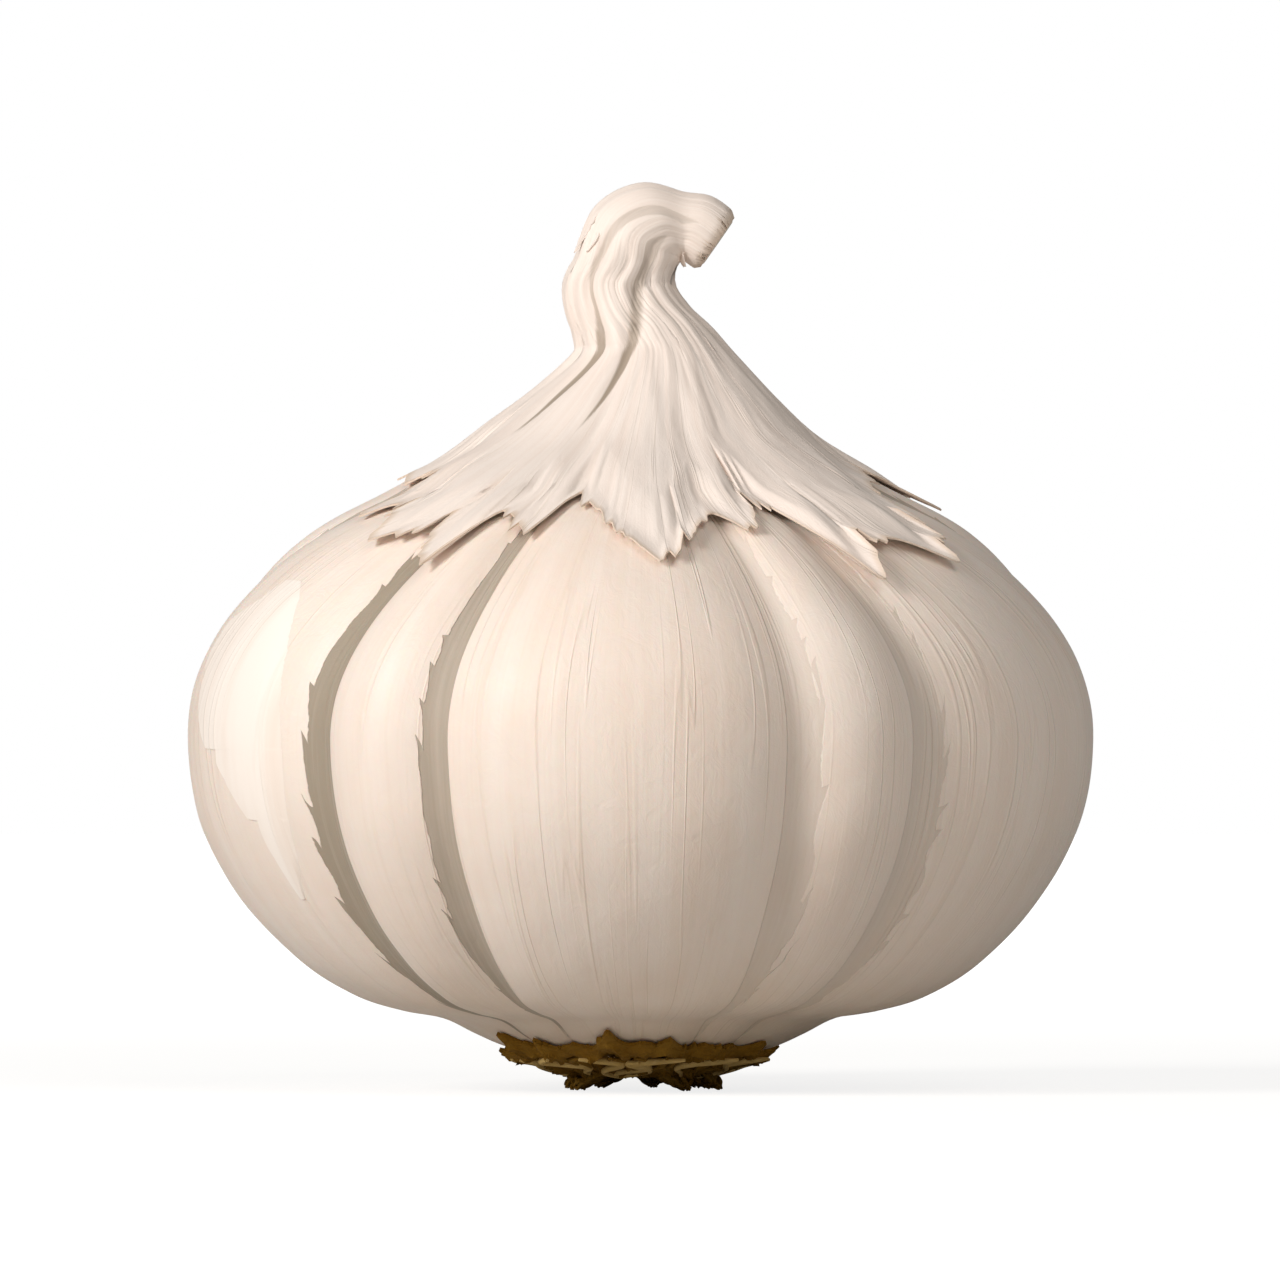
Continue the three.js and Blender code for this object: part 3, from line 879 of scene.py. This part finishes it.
# %% The hem and the snug line
HEM = [
    [-40.3, 35.2], [-36, 39.0], [-25.6, 37.4], [-20.6, 40.2], [5, 35.2], [19, 38.9], [24.5, 37.7], [36, 39.9],
    [43, 34.4], [52.8, 37.2], [63, 35.4], [90, 41.4], [97, 41.0], [104, 42.2], [113, 39.6], [120, 40.9],
    [136, 34.8], [141, 38.4], [148, 36.8], [157, 41.4], [165, 39.8], [171, 41.2], [184, 36.6], [189, 38.2],
    [201, 33.4], [210, 40.8], [220, 38.0], [228, 41.6], [238, 40.2], [249, 42.0], [262, 41.2], [272, 42.2],
    [283.3, 38.9], [290.4, 39.6], [300.8, 36.9], [307.7, 38.0],
]  # tips and notches in turn: angle, height
HEM_CURVE = 1.6


def hem_height(angle):
    """The height of the torn hem: sharp tips, which are low, and rounded notches."""
    return torn_edge(angle, HEM, HEM_CURVE)


def snug_station(angle):
    """Where the sheet draws tight round the neck, higher on the left where the stalk folds away from it."""
    ragged = np.abs((angle * 7 % 360) / 180 - 1)
    return FOLD_START - 0.15 - 0.55 * np.sin(np.radians(angle)) - 0.35 * ragged


hem_heights = hem_height(turn_once)
print("the hem hangs between", hem_heights.min().round(1), "and", hem_heights.max().round(1), "mm")

# %% [markdown]
# ## The outer skin's finish
# This sheet has been outside longest and has bleached, except at its torn edges, which are drier and
# darker. It has the same fibres and a stronger crinkle. No light passes through it here: on a thin double
# wall that only turns grey.

# %% The finish of the outer skin
SHELL_PINK = colour("FCF0E7")
SHELL_WARM = colour("F4E2D6")
TORN_EDGE = colour("D9BFA4")
SHEET_CRINKLE = (1.9, 1.9, 0.6)
EDGE_WIDTH = 0.9


def outer_skin_finish():
    skin = Finish("outer_skin", DRY_SKIN)
    place = skin.place("fibre_place")
    streak, ridge, hair = skin_fibres(skin, place)
    mottle = skin.cloud(skin.spot(), 70.0, 4.0, 0.6)
    shade = skin.blend((mottle * 0.6 + streak * 0.7 - 0.3).step(0.1, 0.8), SHELL_PINK, SHELL_WARM)
    shade = skin.blend((ridge * 0.3 + (hair - 0.5) * 0.6).math("MAXIMUM", 0.0) * 0.7, shade, VEIN)
    shade = skin.blend(skin.number("stain") * STAINING, shade, STAIN)
    edge = 1 - skin.number("edge").step(0.0, EDGE_WIDTH)
    shade = skin.blend(edge * (0.35 + hair * 0.5), shade, TORN_EDGE)
    skin.set("Base Color", shade)
    skin.set("Roughness", 0.42 + mottle * 0.2)
    crinkle = skin.cloud(place, SHEET_CRINKLE, 5.0, 0.62, 1.4)
    skin.relief((ridge * 0.4 + hair * 0.12 + crinkle * 0.55) * skin.number("fibre_space"), SKIN_RELIEF)
    return skin.material


OUTER_SKIN = outer_skin_finish()
print("nodes in the outer skin's finish:", len(OUTER_SKIN.node_tree.nodes))

# %% [markdown]
# ## How far the sheet stands off
# Near the hem the sheet lies close, round the neck it is looser, and on the folded end it has dried fast.
# The tips have curled away a little, most at their very ends, which a squared falloff gives. A ripple of
# noise does the rest.

# %% The lift of the sheet
SNUG_LIFT, LOOSE_LIFT, TIGHT_LIFT = 0.22, 0.82, 0.2  # near the hem, round the neck and on the folded end
CURL, CURL_LENGTH = 0.55, 2.6
LEAST_CURL = 0.15  # of the full curl
TIP_HEIGHT, NOTCH_HEIGHT = 35, 40.5  # where the hem curls fully and where it hardly does
BROAD_RIPPLE, FINE_RIPPLE = 0.14, 0.04  # millimetres


def sheet_lift(angle, station, length, from_hem):
    """How far the middle of the sheet stands off the bulb, in millimetres."""
    tipness = 1 - smooth(TIP_HEIGHT, NOTCH_HEIGHT, hem_height(angle))
    flutter = 1 + 0.6 * wander(angle, 0 * length, (7.0, 0.0), 2.2)
    curled = LEAST_CURL + (1 - LEAST_CURL) * tipness
    curl = CURL * curled * flutter * np.maximum(0, 1 - from_hem / CURL_LENGTH) ** 2
    snug = snug_station(angle)
    tight = smooth(snug - 0.5, snug + 0.7, station)
    loose = SNUG_LIFT + (LOOSE_LIFT - SNUG_LIFT) * smooth(1.5, 8, from_hem)
    ripple = BROAD_RIPPLE * wander(angle, length, (4.0, 0.12), 9.4)
    ripple = ripple + FINE_RIPPLE * wander(angle, length, (14.0, 0.3), 1.4)
    lift = loose + (TIGHT_LIFT - loose) * tight + curl + np.maximum(ripple, -0.1) * (1 - 0.6 * tight)
    return lift + unevenness(angle, length) * (1 - tight) - nip(station)


print("the sheet stands off", SNUG_LIFT, "to", LOOSE_LIFT, "mm")

# %% [markdown]
# ## The torn outer skin
# The sheet runs from the hem over the shoulders and the neck to the cut end. It takes the dents of the
# folds with it, and lies over the seams more shallowly than the cloves' own skin. A Solidify modifier
# gives it the thickness of two sheets of paper, so that its torn edges catch the light.

# %% Wrap the torn sheet round the shoulders
SHEET_ACROSS, SHEET_ALONG = 500, 96
SHEET_THICKNESS = 0.12
SHEET_SEAMS = 0.6  # of their depth on the cloves
FRAY, SLITS, END_FRAY = (5, 150, 0.8), (6, 22, 2.0), (7, 70, 0.4)  # seed, how many, how long
END_GAP = 0.03  # of a station


def torn_sheet():
    piece, u, v = flat_grid("torn_skin", SHEET_ACROSS, SHEET_ALONG)
    angle = -180 + 360 * u
    hem = hem_height(angle) - fine_tears(angle, *FRAY) + fine_tears(angle, *SLITS)
    low = length_at_station(station_at_height(hem))
    high = length_at_station(LAST - END_GAP - fine_tears(angle, *END_FRAY))
    length = low + (high - low) * v ** 1.1
    station = station_at_length(length)
    dent, stain = neck_folds(angle, station)
    lift = sheet_lift(angle, station, length, length - low) - FOLD_DENT * dent
    press(piece, on_bulb(angle, station, lift, SHEET_SEAMS * neck_seams(station)))
    keep_fibres(piece, angle, length, station)
    keep(piece, "stain", stain)
    keep(piece, "edge", np.minimum(length - low, high - length))
    close(piece, 0.002)
    thicken(piece, SHEET_THICKNESS)
    finish_piece(piece, "outer_skin", OUTER_SKIN)


torn_sheet()

# %% [markdown]
# ## Loose slivers
# Thin slivers of skin stay hanging where the sheet tore: at the neck's bend, under the folded tip and
# round the back. Each is a narrow grid that is fast at one end and stands off the bulb at its point. They
# are one piece in the end, since they share everything but their place, so they are joined.

# %% The slivers
SLIVERS = [
    [-84, 22.1, 2.8, 2.0, 0.4, -1], [-64, 21.7, 1.5, 0.9, 0.22, -1], [80, 24.0, 2.5, 1.8, 0.5, 1],
    [104, 24.4, 1.6, 1.0, 0.3, 1], [150, 19.0, 4.2, 1.5, 0.5, -1], [-130, 18.4, 4.8, 1.7, 0.5, -1],
    [-160, 20.6, 2.8, 1.2, 0.4, -1],
]  # direction, station, length, width, how far the point stands off, and 1 for upwards or -1 for downwards
SLIVER_ACROSS, SLIVER_ALONG = 8, 26
SLIVER_THICKNESS = 0.6 * SHEET_THICKNESS


def sliver(row):
    direction, start, long, wide, off, way = row
    piece, u, v = flat_grid("sliver", SLIVER_ACROSS, SLIVER_ALONG)
    length = length_at_station(start) + way * long * v
    station = station_at_length(length)
    ragged = 0.85 + 0.3 * wander(u * 40, v * 9, (3.0, 1.0), direction)
    across = (u - 0.5) * wide * np.minimum(1, 3 * v) * (1 - v) ** 0.8 * ragged
    angle = direction + np.degrees(across / between(station)[..., 0]) + 8 * v * v * np.sign(direction)
    tight = smooth(FOLD_START - 0.5, FOLD_START + 0.7, station)
    under = LOOSE_LIFT + (TIGHT_LIFT - LOOSE_LIFT) * tight - 0.05
    lift = under + 0.12 * np.minimum(1, 4 * v) + off * v ** 1.6 + 0.2 * (2 * u - 1) ** 2 * v * (1 - v)
    press(piece, on_bulb(angle, station, lift, SHEET_SEAMS * neck_seams(station)))
    keep_fibres(piece, angle, length, station)
    keep(piece, "edge", np.ones(len(u)))
    keep(piece, "stain", np.zeros(len(u)))
    close(piece, 0.001)
    thicken(piece, SLIVER_THICKNESS)
    return piece


def joined(pieces, name):
    """Several pieces as one."""
    only(pieces[0])
    for piece in pieces:
        piece.select_set(True)
    bpy.ops.object.join()
    whole = bpy.context.object
    whole.name = name
    whole.data.name = name
    return whole


scraps = joined([sliver(row) for row in SLIVERS], "scraps")
finish_piece(scraps, "outer_skin", OUTER_SKIN)

# %% [markdown]
# ## The root crown's finish
# Under the cloves sits a brown corky plate, the real stem of the plant, with its dry roots. Cork and
# roots share one recipe of fine and coarse noise and differ only in two browns, so one function writes
# all three finishes. They are matt, with strong relief.

# %% Cork and roots
CORK_GRAIN, CORK_PATCH = (900.0, 900.0, 2160.0), 260.0  # per metre
CORK_RELIEF = 0.25
ROOT_DARK = colour("7F590C")
ROOT_MID = colour("987224")
ROOT_WARM = colour("A07D34")
ROOT_PALE = colour("EDCF8C")
ROOT_STRAW = colour("D9B66C")


def root_finish(name, dark, light):
    cork = Finish(name, {"IOR": 1.4, "Specular IOR Level": 0.3})
    spot = cork.spot()
    grain = cork.cloud(spot, CORK_GRAIN, 5.0, 0.7, 1.0)
    patch = cork.cloud(spot, CORK_PATCH, 3.0)
    cork.set("Base Color", cork.blend((grain * 0.9 + patch * 0.5 - 0.35).step(0.1, 0.75), dark, light))
    cork.set("Roughness", 0.72 + patch * 0.2)
    cork.relief(grain, CORK_RELIEF)
    return cork.material


PLATE_FINISH = root_finish("root_plate", ROOT_DARK, ROOT_MID)
DARK_ROOTS = root_finish("dark_roots", ROOT_DARK, ROOT_WARM)
PALE_ROOTS = root_finish("pale_roots", ROOT_STRAW, ROOT_PALE)
print("root finishes:", PLATE_FINISH.name, DARK_ROOTS.name, PALE_ROOTS.name)

# %% [markdown]
# ## The rim of the plate
# The plate's rim hugs the cloves in torn points, which are the frame's own. From above it lies on the
# bulb, from below it is a flank that narrows to the roots, so it is written as stops from the middle of
# the underside, out over the flank to the rim, and back in between plate and bulb.

# %% The stops of the plate
CROWN_RIM = [
    [-72, 9.6], [-65, 8.9], [-55, 12.2], [-47, 10.5], [-41, 11.2], [-34, 10.2], [-27, 11.0], [-19, 10.4],
    [-10.5, 12.8], [-4, 10.9], [2, 11.2], [5, 10.7], [10.3, 11.8], [19, 10.3], [25, 10.9], [33, 10.2],
    [40, 10.7], [45, 10.2], [52, 11.1], [60, 9.3], [67, 9.7], [80, 8.4], [88, 8.9], [97, 8.2],
    [106, 10.2], [113, 9.4], [124, 11.8], [133, 9.9], [141, 10.9], [150, 10.0], [163, 12.1], [172, 10.2],
    [181, 11.3], [190, 10.1], [204, 12.4], [212, 10.3], [221, 11.2], [230, 9.5], [243, 11.4], [252, 9.0],
    [262, 9.7], [270, 8.8], [279, 9.3], [283, 8.7],
]  # torn points and notches in turn: angle, radius
RIM_CURVE = 1.7
RIM_THICKNESS, RIM_TUCK = 0.75, 0.12
RIM_FRAY = (12, 90, 0.8)  # seed, how many, how long
PLATE_SIDE = [[0, 0.9], [3.4, 0.95], [4.3, 1.0], [5.0, 1.15], [6.0, 1.55], [8.0, 2.3]]  # radius, height
PLATE_TOP = [[6.0, 2.05], [0, 1.9]]


def plate_stops(angle):
    """Rings of points from the middle of the underside over the rim to the middle of the top."""
    turn = np.radians(angle)
    out, up = np.stack([np.sin(turn), -np.cos(turn), 0 * turn], -1), np.array([0, 0, 1.0])
    radius = fine_tears(angle, *RIM_FRAY) - torn_edge(angle, [[at, -r] for at, r in CROWN_RIM], RIM_CURVE)
    rim = station_at_radius(radius)
    shoulder = on_bulb(angle, station_at_radius(radius * 0.9), RIM_THICKNESS)
    edge, under = on_bulb(angle, rim, RIM_THICKNESS * 0.6), on_bulb(angle, rim, RIM_TUCK)
    below, above = [[out * r + up * z for r, z in side] for side in (PLATE_SIDE, PLATE_TOP)]
    return np.stack([*below, shoulder, edge, under, *above]), out


print("rings from the middle to the rim and back:", len(plate_stops(turn_once)[0]))

# %% [markdown]
# ## The root plate
# A grid is pressed between those rings, and fractal noise roughens the flank, out and down, as cork is.
# The noise grows from nothing near the middle and fades before the rim, which has to stay on the bulb.

# %% Press the plate
PLATE_ACROSS, PLATE_ALONG = 420, 48
ROUGH_OUT, ROUGH_DOWN, ROUGH_SCALE = 0.45, 0.4, 1.1
LOWEST = 0.1


def root_plate():
    piece, u, v = flat_grid("root_plate", PLATE_ACROSS, PLATE_ALONG)
    stops, out = plate_stops(-180 + 360 * u)
    at = v * (len(stops) - 1)
    i = np.minimum(at.astype(int), len(stops) - 2)
    every = np.arange(len(u))
    first, second = stops[i, every], stops[i + 1, every]
    points = first + (second - first) * (at - i)[:, None]
    rough = np.array([noise.fractal(Vector(point * ROUGH_SCALE), 0.8, 2.1, 4) for point in points])
    grow = smooth(1.5, 3.0, at) * (1 - smooth(5.6, 6.6, at))
    points = points + (out * ROUGH_OUT - np.array([0, 0, ROUGH_DOWN])) * (rough * grow)[:, None]
    points[:, 2] = np.maximum(points[:, 2], LOWEST)
    press(piece, points)
    close(piece, 0.004)
    finish_piece(piece, "root_crown", PLATE_FINISH)


root_plate()

# %% [markdown]
# ## Tufts of trimmed roots
# The roots were cut level with a knife, and the dry stumps cling together in pointed tufts, on which the
# bulb stands. Each root is a path of a few points that swings more and more on its way. Paths are chosen
# over modelled tubes because a hundred of them stay light and can be drawn from one seed.

# %% The paths in a tuft
ROOT_POINTS = 10
TUFTS = [
    [-60, 5.5], [-103, 4.9], [-146, 4.7], [34, 5.3], [72, 5.6], [118, 5.0], [166, 4.7],
]  # direction, reach
ROOTS_IN_TUFT = (16, 20)  # at least and at most
FULL_TURN = 2 * math.pi


def polar(angle, radius, height):
    turn = math.radians(angle)
    return np.array([radius * math.sin(turn), -radius * math.cos(turn), height])


def curling(draw, start, stop, swing):
    """One root from start to stop, curling on its way more and more."""
    axis = (stop - start) / np.linalg.norm(stop - start)
    aside = np.cross(axis, [0, 0, 1.0])
    aside = aside / max(np.linalg.norm(aside), 1e-6)
    upward = np.cross(aside, axis)
    phase, turns = draw.uniform(0, FULL_TURN), draw.uniform(0.7, 1.6)
    points = []
    for share in np.linspace(0, 1, ROOT_POINTS):
        grown = swing * min(1, share * 2)
        sideways = grown * math.sin(phase + turns * share * FULL_TURN)
        upwards = 0.4 * grown * math.cos(phase + turns * share * FULL_TURN * 1.2)
        place = start + (stop - start) * share + aside * sideways + upward * upwards
        place[2] = max(place[2], LOWEST)
        points.append(place)
    return points


def tufts(draw):
    """Roots in tufts under the plate, which come together in points where they were trimmed."""
    roots = []
    for angle, reach in TUFTS:
        for _ in range(draw.randint(*ROOTS_IN_TUFT)):
            side = draw.uniform(-20, 20)
            start = polar(angle + side, reach * draw.uniform(0.5, 0.95), draw.uniform(0.95, 1.35))
            stop = polar(angle + side * 0.12 + 3, reach * draw.uniform(0.86, 1.06), draw.uniform(0.08, 0.38))
            roots.append(curling(draw, start, stop, draw.uniform(0.06, 0.22)))
    return roots


print("tufts:", len(TUFTS), "with", ROOTS_IN_TUFT[0], "to", ROOTS_IN_TUFT[1], "roots in each")

# %% [markdown]
# ## Strands over the plate
# Other roots have dried onto the flank of the plate and wind over it, some dark and some pale. They
# follow the flank's height from the rim down to the tufts and wave from side to side as they go.

# %% Winding strands
STRAND_POINTS = 16
RIM_SIDE = [[9.8, 2.65], [11.0, 3.4]]  # how the flank goes on over the rim, radius and height
FLANK = PLATE_SIDE + RIM_SIDE
SINKING = 0.7  # the share of its distance that a strand loses on its way down


def strands(draw, count, swing, highest, outside):
    """Strands that wind down the plate from at most this radius, first this far outside its flank."""
    paths = []
    for i in range(count):
        begin = i * 360 / count + draw.uniform(-5, 5)
        sweep, phase = draw.uniform(-20, 20), draw.uniform(0, FULL_TURN)
        waves = draw.uniform(0.8, 1.5)
        first, last = draw.uniform(highest - 1.4, highest), draw.uniform(4.4, 5.6)
        path = []
        for share in np.linspace(0, 1, STRAND_POINTS):
            radius = first + (last - first) * share
            wave = swing * (math.sin(phase + waves * share * FULL_TURN) - math.sin(phase))
            height = np.interp(radius, *np.array(FLANK).T) - outside * (1 - SINKING * share)
            path.append(polar(begin + sweep * share + wave, radius, height))
        paths.append(path)
    return paths


print("the flank falls from", FLANK[-1][1], "to", FLANK[0][1], "mm")

# %% [markdown]
# ## Round roots from paths
# A NURBS curve with a bevel turns every path into a round root that tapers to its tip, and only a few
# faces round. Converted to a mesh, all roots of one shade are one light piece.

# %% The roots
DARK_THICKNESS, PALE_THICKNESS = 0.24, 0.32


def tapered(share):
    """The thickness of a root along its length: it swells from its foot and tapers to its tip."""
    return (0.4 + 0.75 * min(1, share * 4)) * (1 - 0.65 * share)


def round_roots(name, paths, thickness, material):
    line = bpy.data.curves.new(name, "CURVE")
    line.dimensions = "3D"
    line.bevel_depth = thickness * MM
    line.bevel_resolution = 1
    line.resolution_u = 2
    line.use_fill_caps = True
    for path in paths:
        spline = line.splines.new("NURBS")
        spline.points.add(len(path) - 1)
        spline.use_endpoint_u = True
        spline.order_u = 4
        for i, place in enumerate(path):
            spline.points[i].co = (*(place * MM), 1)
            spline.points[i].radius = tapered(i / (len(path) - 1))
    piece = bpy.data.objects.new(name, line)
    bpy.context.collection.objects.link(piece)
    only(piece)
    bpy.ops.object.convert(target="MESH")
    finish_piece(piece, "root_crown", material)


DARK_STRANDS = (44, 3.5, 9.6, 0.2)  # how many, swing, highest radius, distance from the flank
PALE_STRANDS = (17, 8.5, 9.9, 0.36)
root_draw = random.Random(77)
dark_paths = tufts(root_draw) + strands(root_draw, *DARK_STRANDS)
pale_paths = strands(root_draw, *PALE_STRANDS)
round_roots("roots_dark", dark_paths, DARK_THICKNESS, DARK_ROOTS)
round_roots("roots_pale", pale_paths, PALE_THICKNESS, PALE_ROOTS)

# %% [markdown]
# ## A plain pale floor
# The bulb stands on a white card. Lit like the rest, the card would come out grey, so to the camera alone
# part of it glows: a Mix Shader between the card and a plain white glow, a little more glow further away,
# where the card has to melt into the background. The bulb still gets only the card's own soft light from
# below.

# %% The floor
NEAR_GLOW, FAR_GLOW = 0.55, 0.8  # the glow's share beside the bulb and far from it
GLOW_STRENGTH = 1.5
FLOOR_PALE = colour("D0CECA")
FLOOR_RADIUS = 1.6


def pale_floor():
    bpy.ops.object.select_all(action="DESELECT")
    bpy.ops.mesh.primitive_circle_add(vertices=96, radius=FLOOR_RADIUS, fill_type="NGON")
    floor = bpy.context.object
    floor.name = "floor"
    card = Finish("floor_card", {"Roughness": 0.85, "Specular IOR Level": 0.2, "Base Color": FLOOR_PALE})
    seen = card.node("ShaderNodeLightPath", {}, {}, "Is Camera Ray")
    away = card.node("ShaderNodeVectorMath", {"operation": "LENGTH"}, {0: card.spot()}, "Value")
    share = (away.step(0.06, 0.5) * (FAR_GLOW - NEAR_GLOW) + NEAR_GLOW) * seen
    glow = card.node("ShaderNodeEmission", {}, {"Color": (1, 1, 1, 1), "Strength": GLOW_STRENGTH})
    plain = Sum(card, card.surface.outputs[0])
    both = card.node("ShaderNodeMixShader", {}, {0: share, 1: plain, 2: glow})
    card.plug(card.tree.nodes["Material Output"].inputs["Surface"], both)
    floor.data.materials.append(card.material)
    print(floor.name, "is", 2 * FLOOR_RADIUS, "m across")


pale_floor()

# %% [markdown]
# ## Soft studio light
# One large soft light at the upper left models the cloves. A weaker one, high and nearly in front, keeps
# the right shoulder open and leaves the lower right in shade. Area lights are used because their shadows
# have soft edges.

# %% The two lamps
MIDDLE = (0, 0, 0.028)


def soft_light(name, place, size, power, tint):
    lamp = bpy.data.lights.new(name, "AREA")
    lamp.shape = "DISK"
    lamp.size = size
    lamp.energy = power
    lamp.color = tint
    holder = bpy.data.objects.new(name, lamp)
    bpy.context.collection.objects.link(holder)
    holder.location = place
    holder.rotation_euler = (Vector(MIDDLE) - Vector(place)).to_track_quat("-Z", "Y").to_euler()
    print(name, "lamp:", power, "W,", size, "m across")


soft_light("key", (-0.50, -0.42, 0.33), 0.3, 3.8, (1.0, 0.975, 0.955))
soft_light("fill", (0.22, -0.50, 0.55), 0.5, 1.35, (1.0, 0.97, 0.93))

# %% [markdown]
# ## The surroundings
# Behind the bulb everything is white, but a white world would also wash out the shadows. The world
# therefore shows white to the camera and a much dimmer, slightly warm light to everything else. A Light
# Path node tells the two apart.

# %% The background
EVEN_LIGHT = 0.2


def surroundings():
    world = bpy.data.worlds.new("surroundings")
    bpy.context.scene.world = world
    world.use_nodes = True
    tree = world.node_tree
    tree.nodes.clear()
    seen, even = tree.nodes.new("ShaderNodeBackground"), tree.nodes.new("ShaderNodeBackground")
    seen.inputs["Strength"].default_value = 1.0
    seen.inputs["Color"].default_value = (1, 1, 1, 1)
    even.inputs["Strength"].default_value = EVEN_LIGHT
    even.inputs["Color"].default_value = (1.0, 0.97, 0.91, 1)
    path, mix = tree.nodes.new("ShaderNodeLightPath"), tree.nodes.new("ShaderNodeMixShader")
    output = tree.nodes.new("ShaderNodeOutputWorld")
    tree.links.new(path.outputs["Is Camera Ray"], mix.inputs[0])
    tree.links.new(even.outputs[0], mix.inputs[1])
    tree.links.new(seen.outputs[0], mix.inputs[2])
    tree.links.new(mix.outputs[0], output.inputs["Surface"])


surroundings()
print("even light:", EVEN_LIGHT)

# %% [markdown]
# ## The camera
# The bulb is seen straight from the front, at its own height. A long lens far away keeps its outline
# true: a short one would enlarge the front clove and hide the neck. The distance follows from the lens
# and from the picture's scale, which is known at the bulb. The Standard view keeps pale colours pale.

# %% A straight camera
PICTURE_WIDTH = 1280  # pixels, as many as it is high
PIXEL = 0.0684 * MM  # the picture's scale at the bulb
GROUND_ROW = 1090  # the row of pixels where the bulb stands
LENS, SENSOR = 500, 36


def straight_camera():
    eye = bpy.data.cameras.new("camera")
    eye.lens = LENS
    eye.sensor_width = SENSOR
    eye.clip_start = 0.01
    holder = bpy.data.objects.new("camera", eye)
    bpy.context.collection.objects.link(holder)
    distance = PICTURE_WIDTH * PIXEL * LENS / SENSOR
    holder.location = (0, -distance, (GROUND_ROW - PICTURE_WIDTH / 2) * PIXEL)
    holder.rotation_euler = (math.pi / 2, 0, 0)
    bpy.context.scene.camera = holder
    print("camera distance:", round(distance, 3), "m")


straight_camera()
bpy.context.scene.view_settings.view_transform = "Standard"
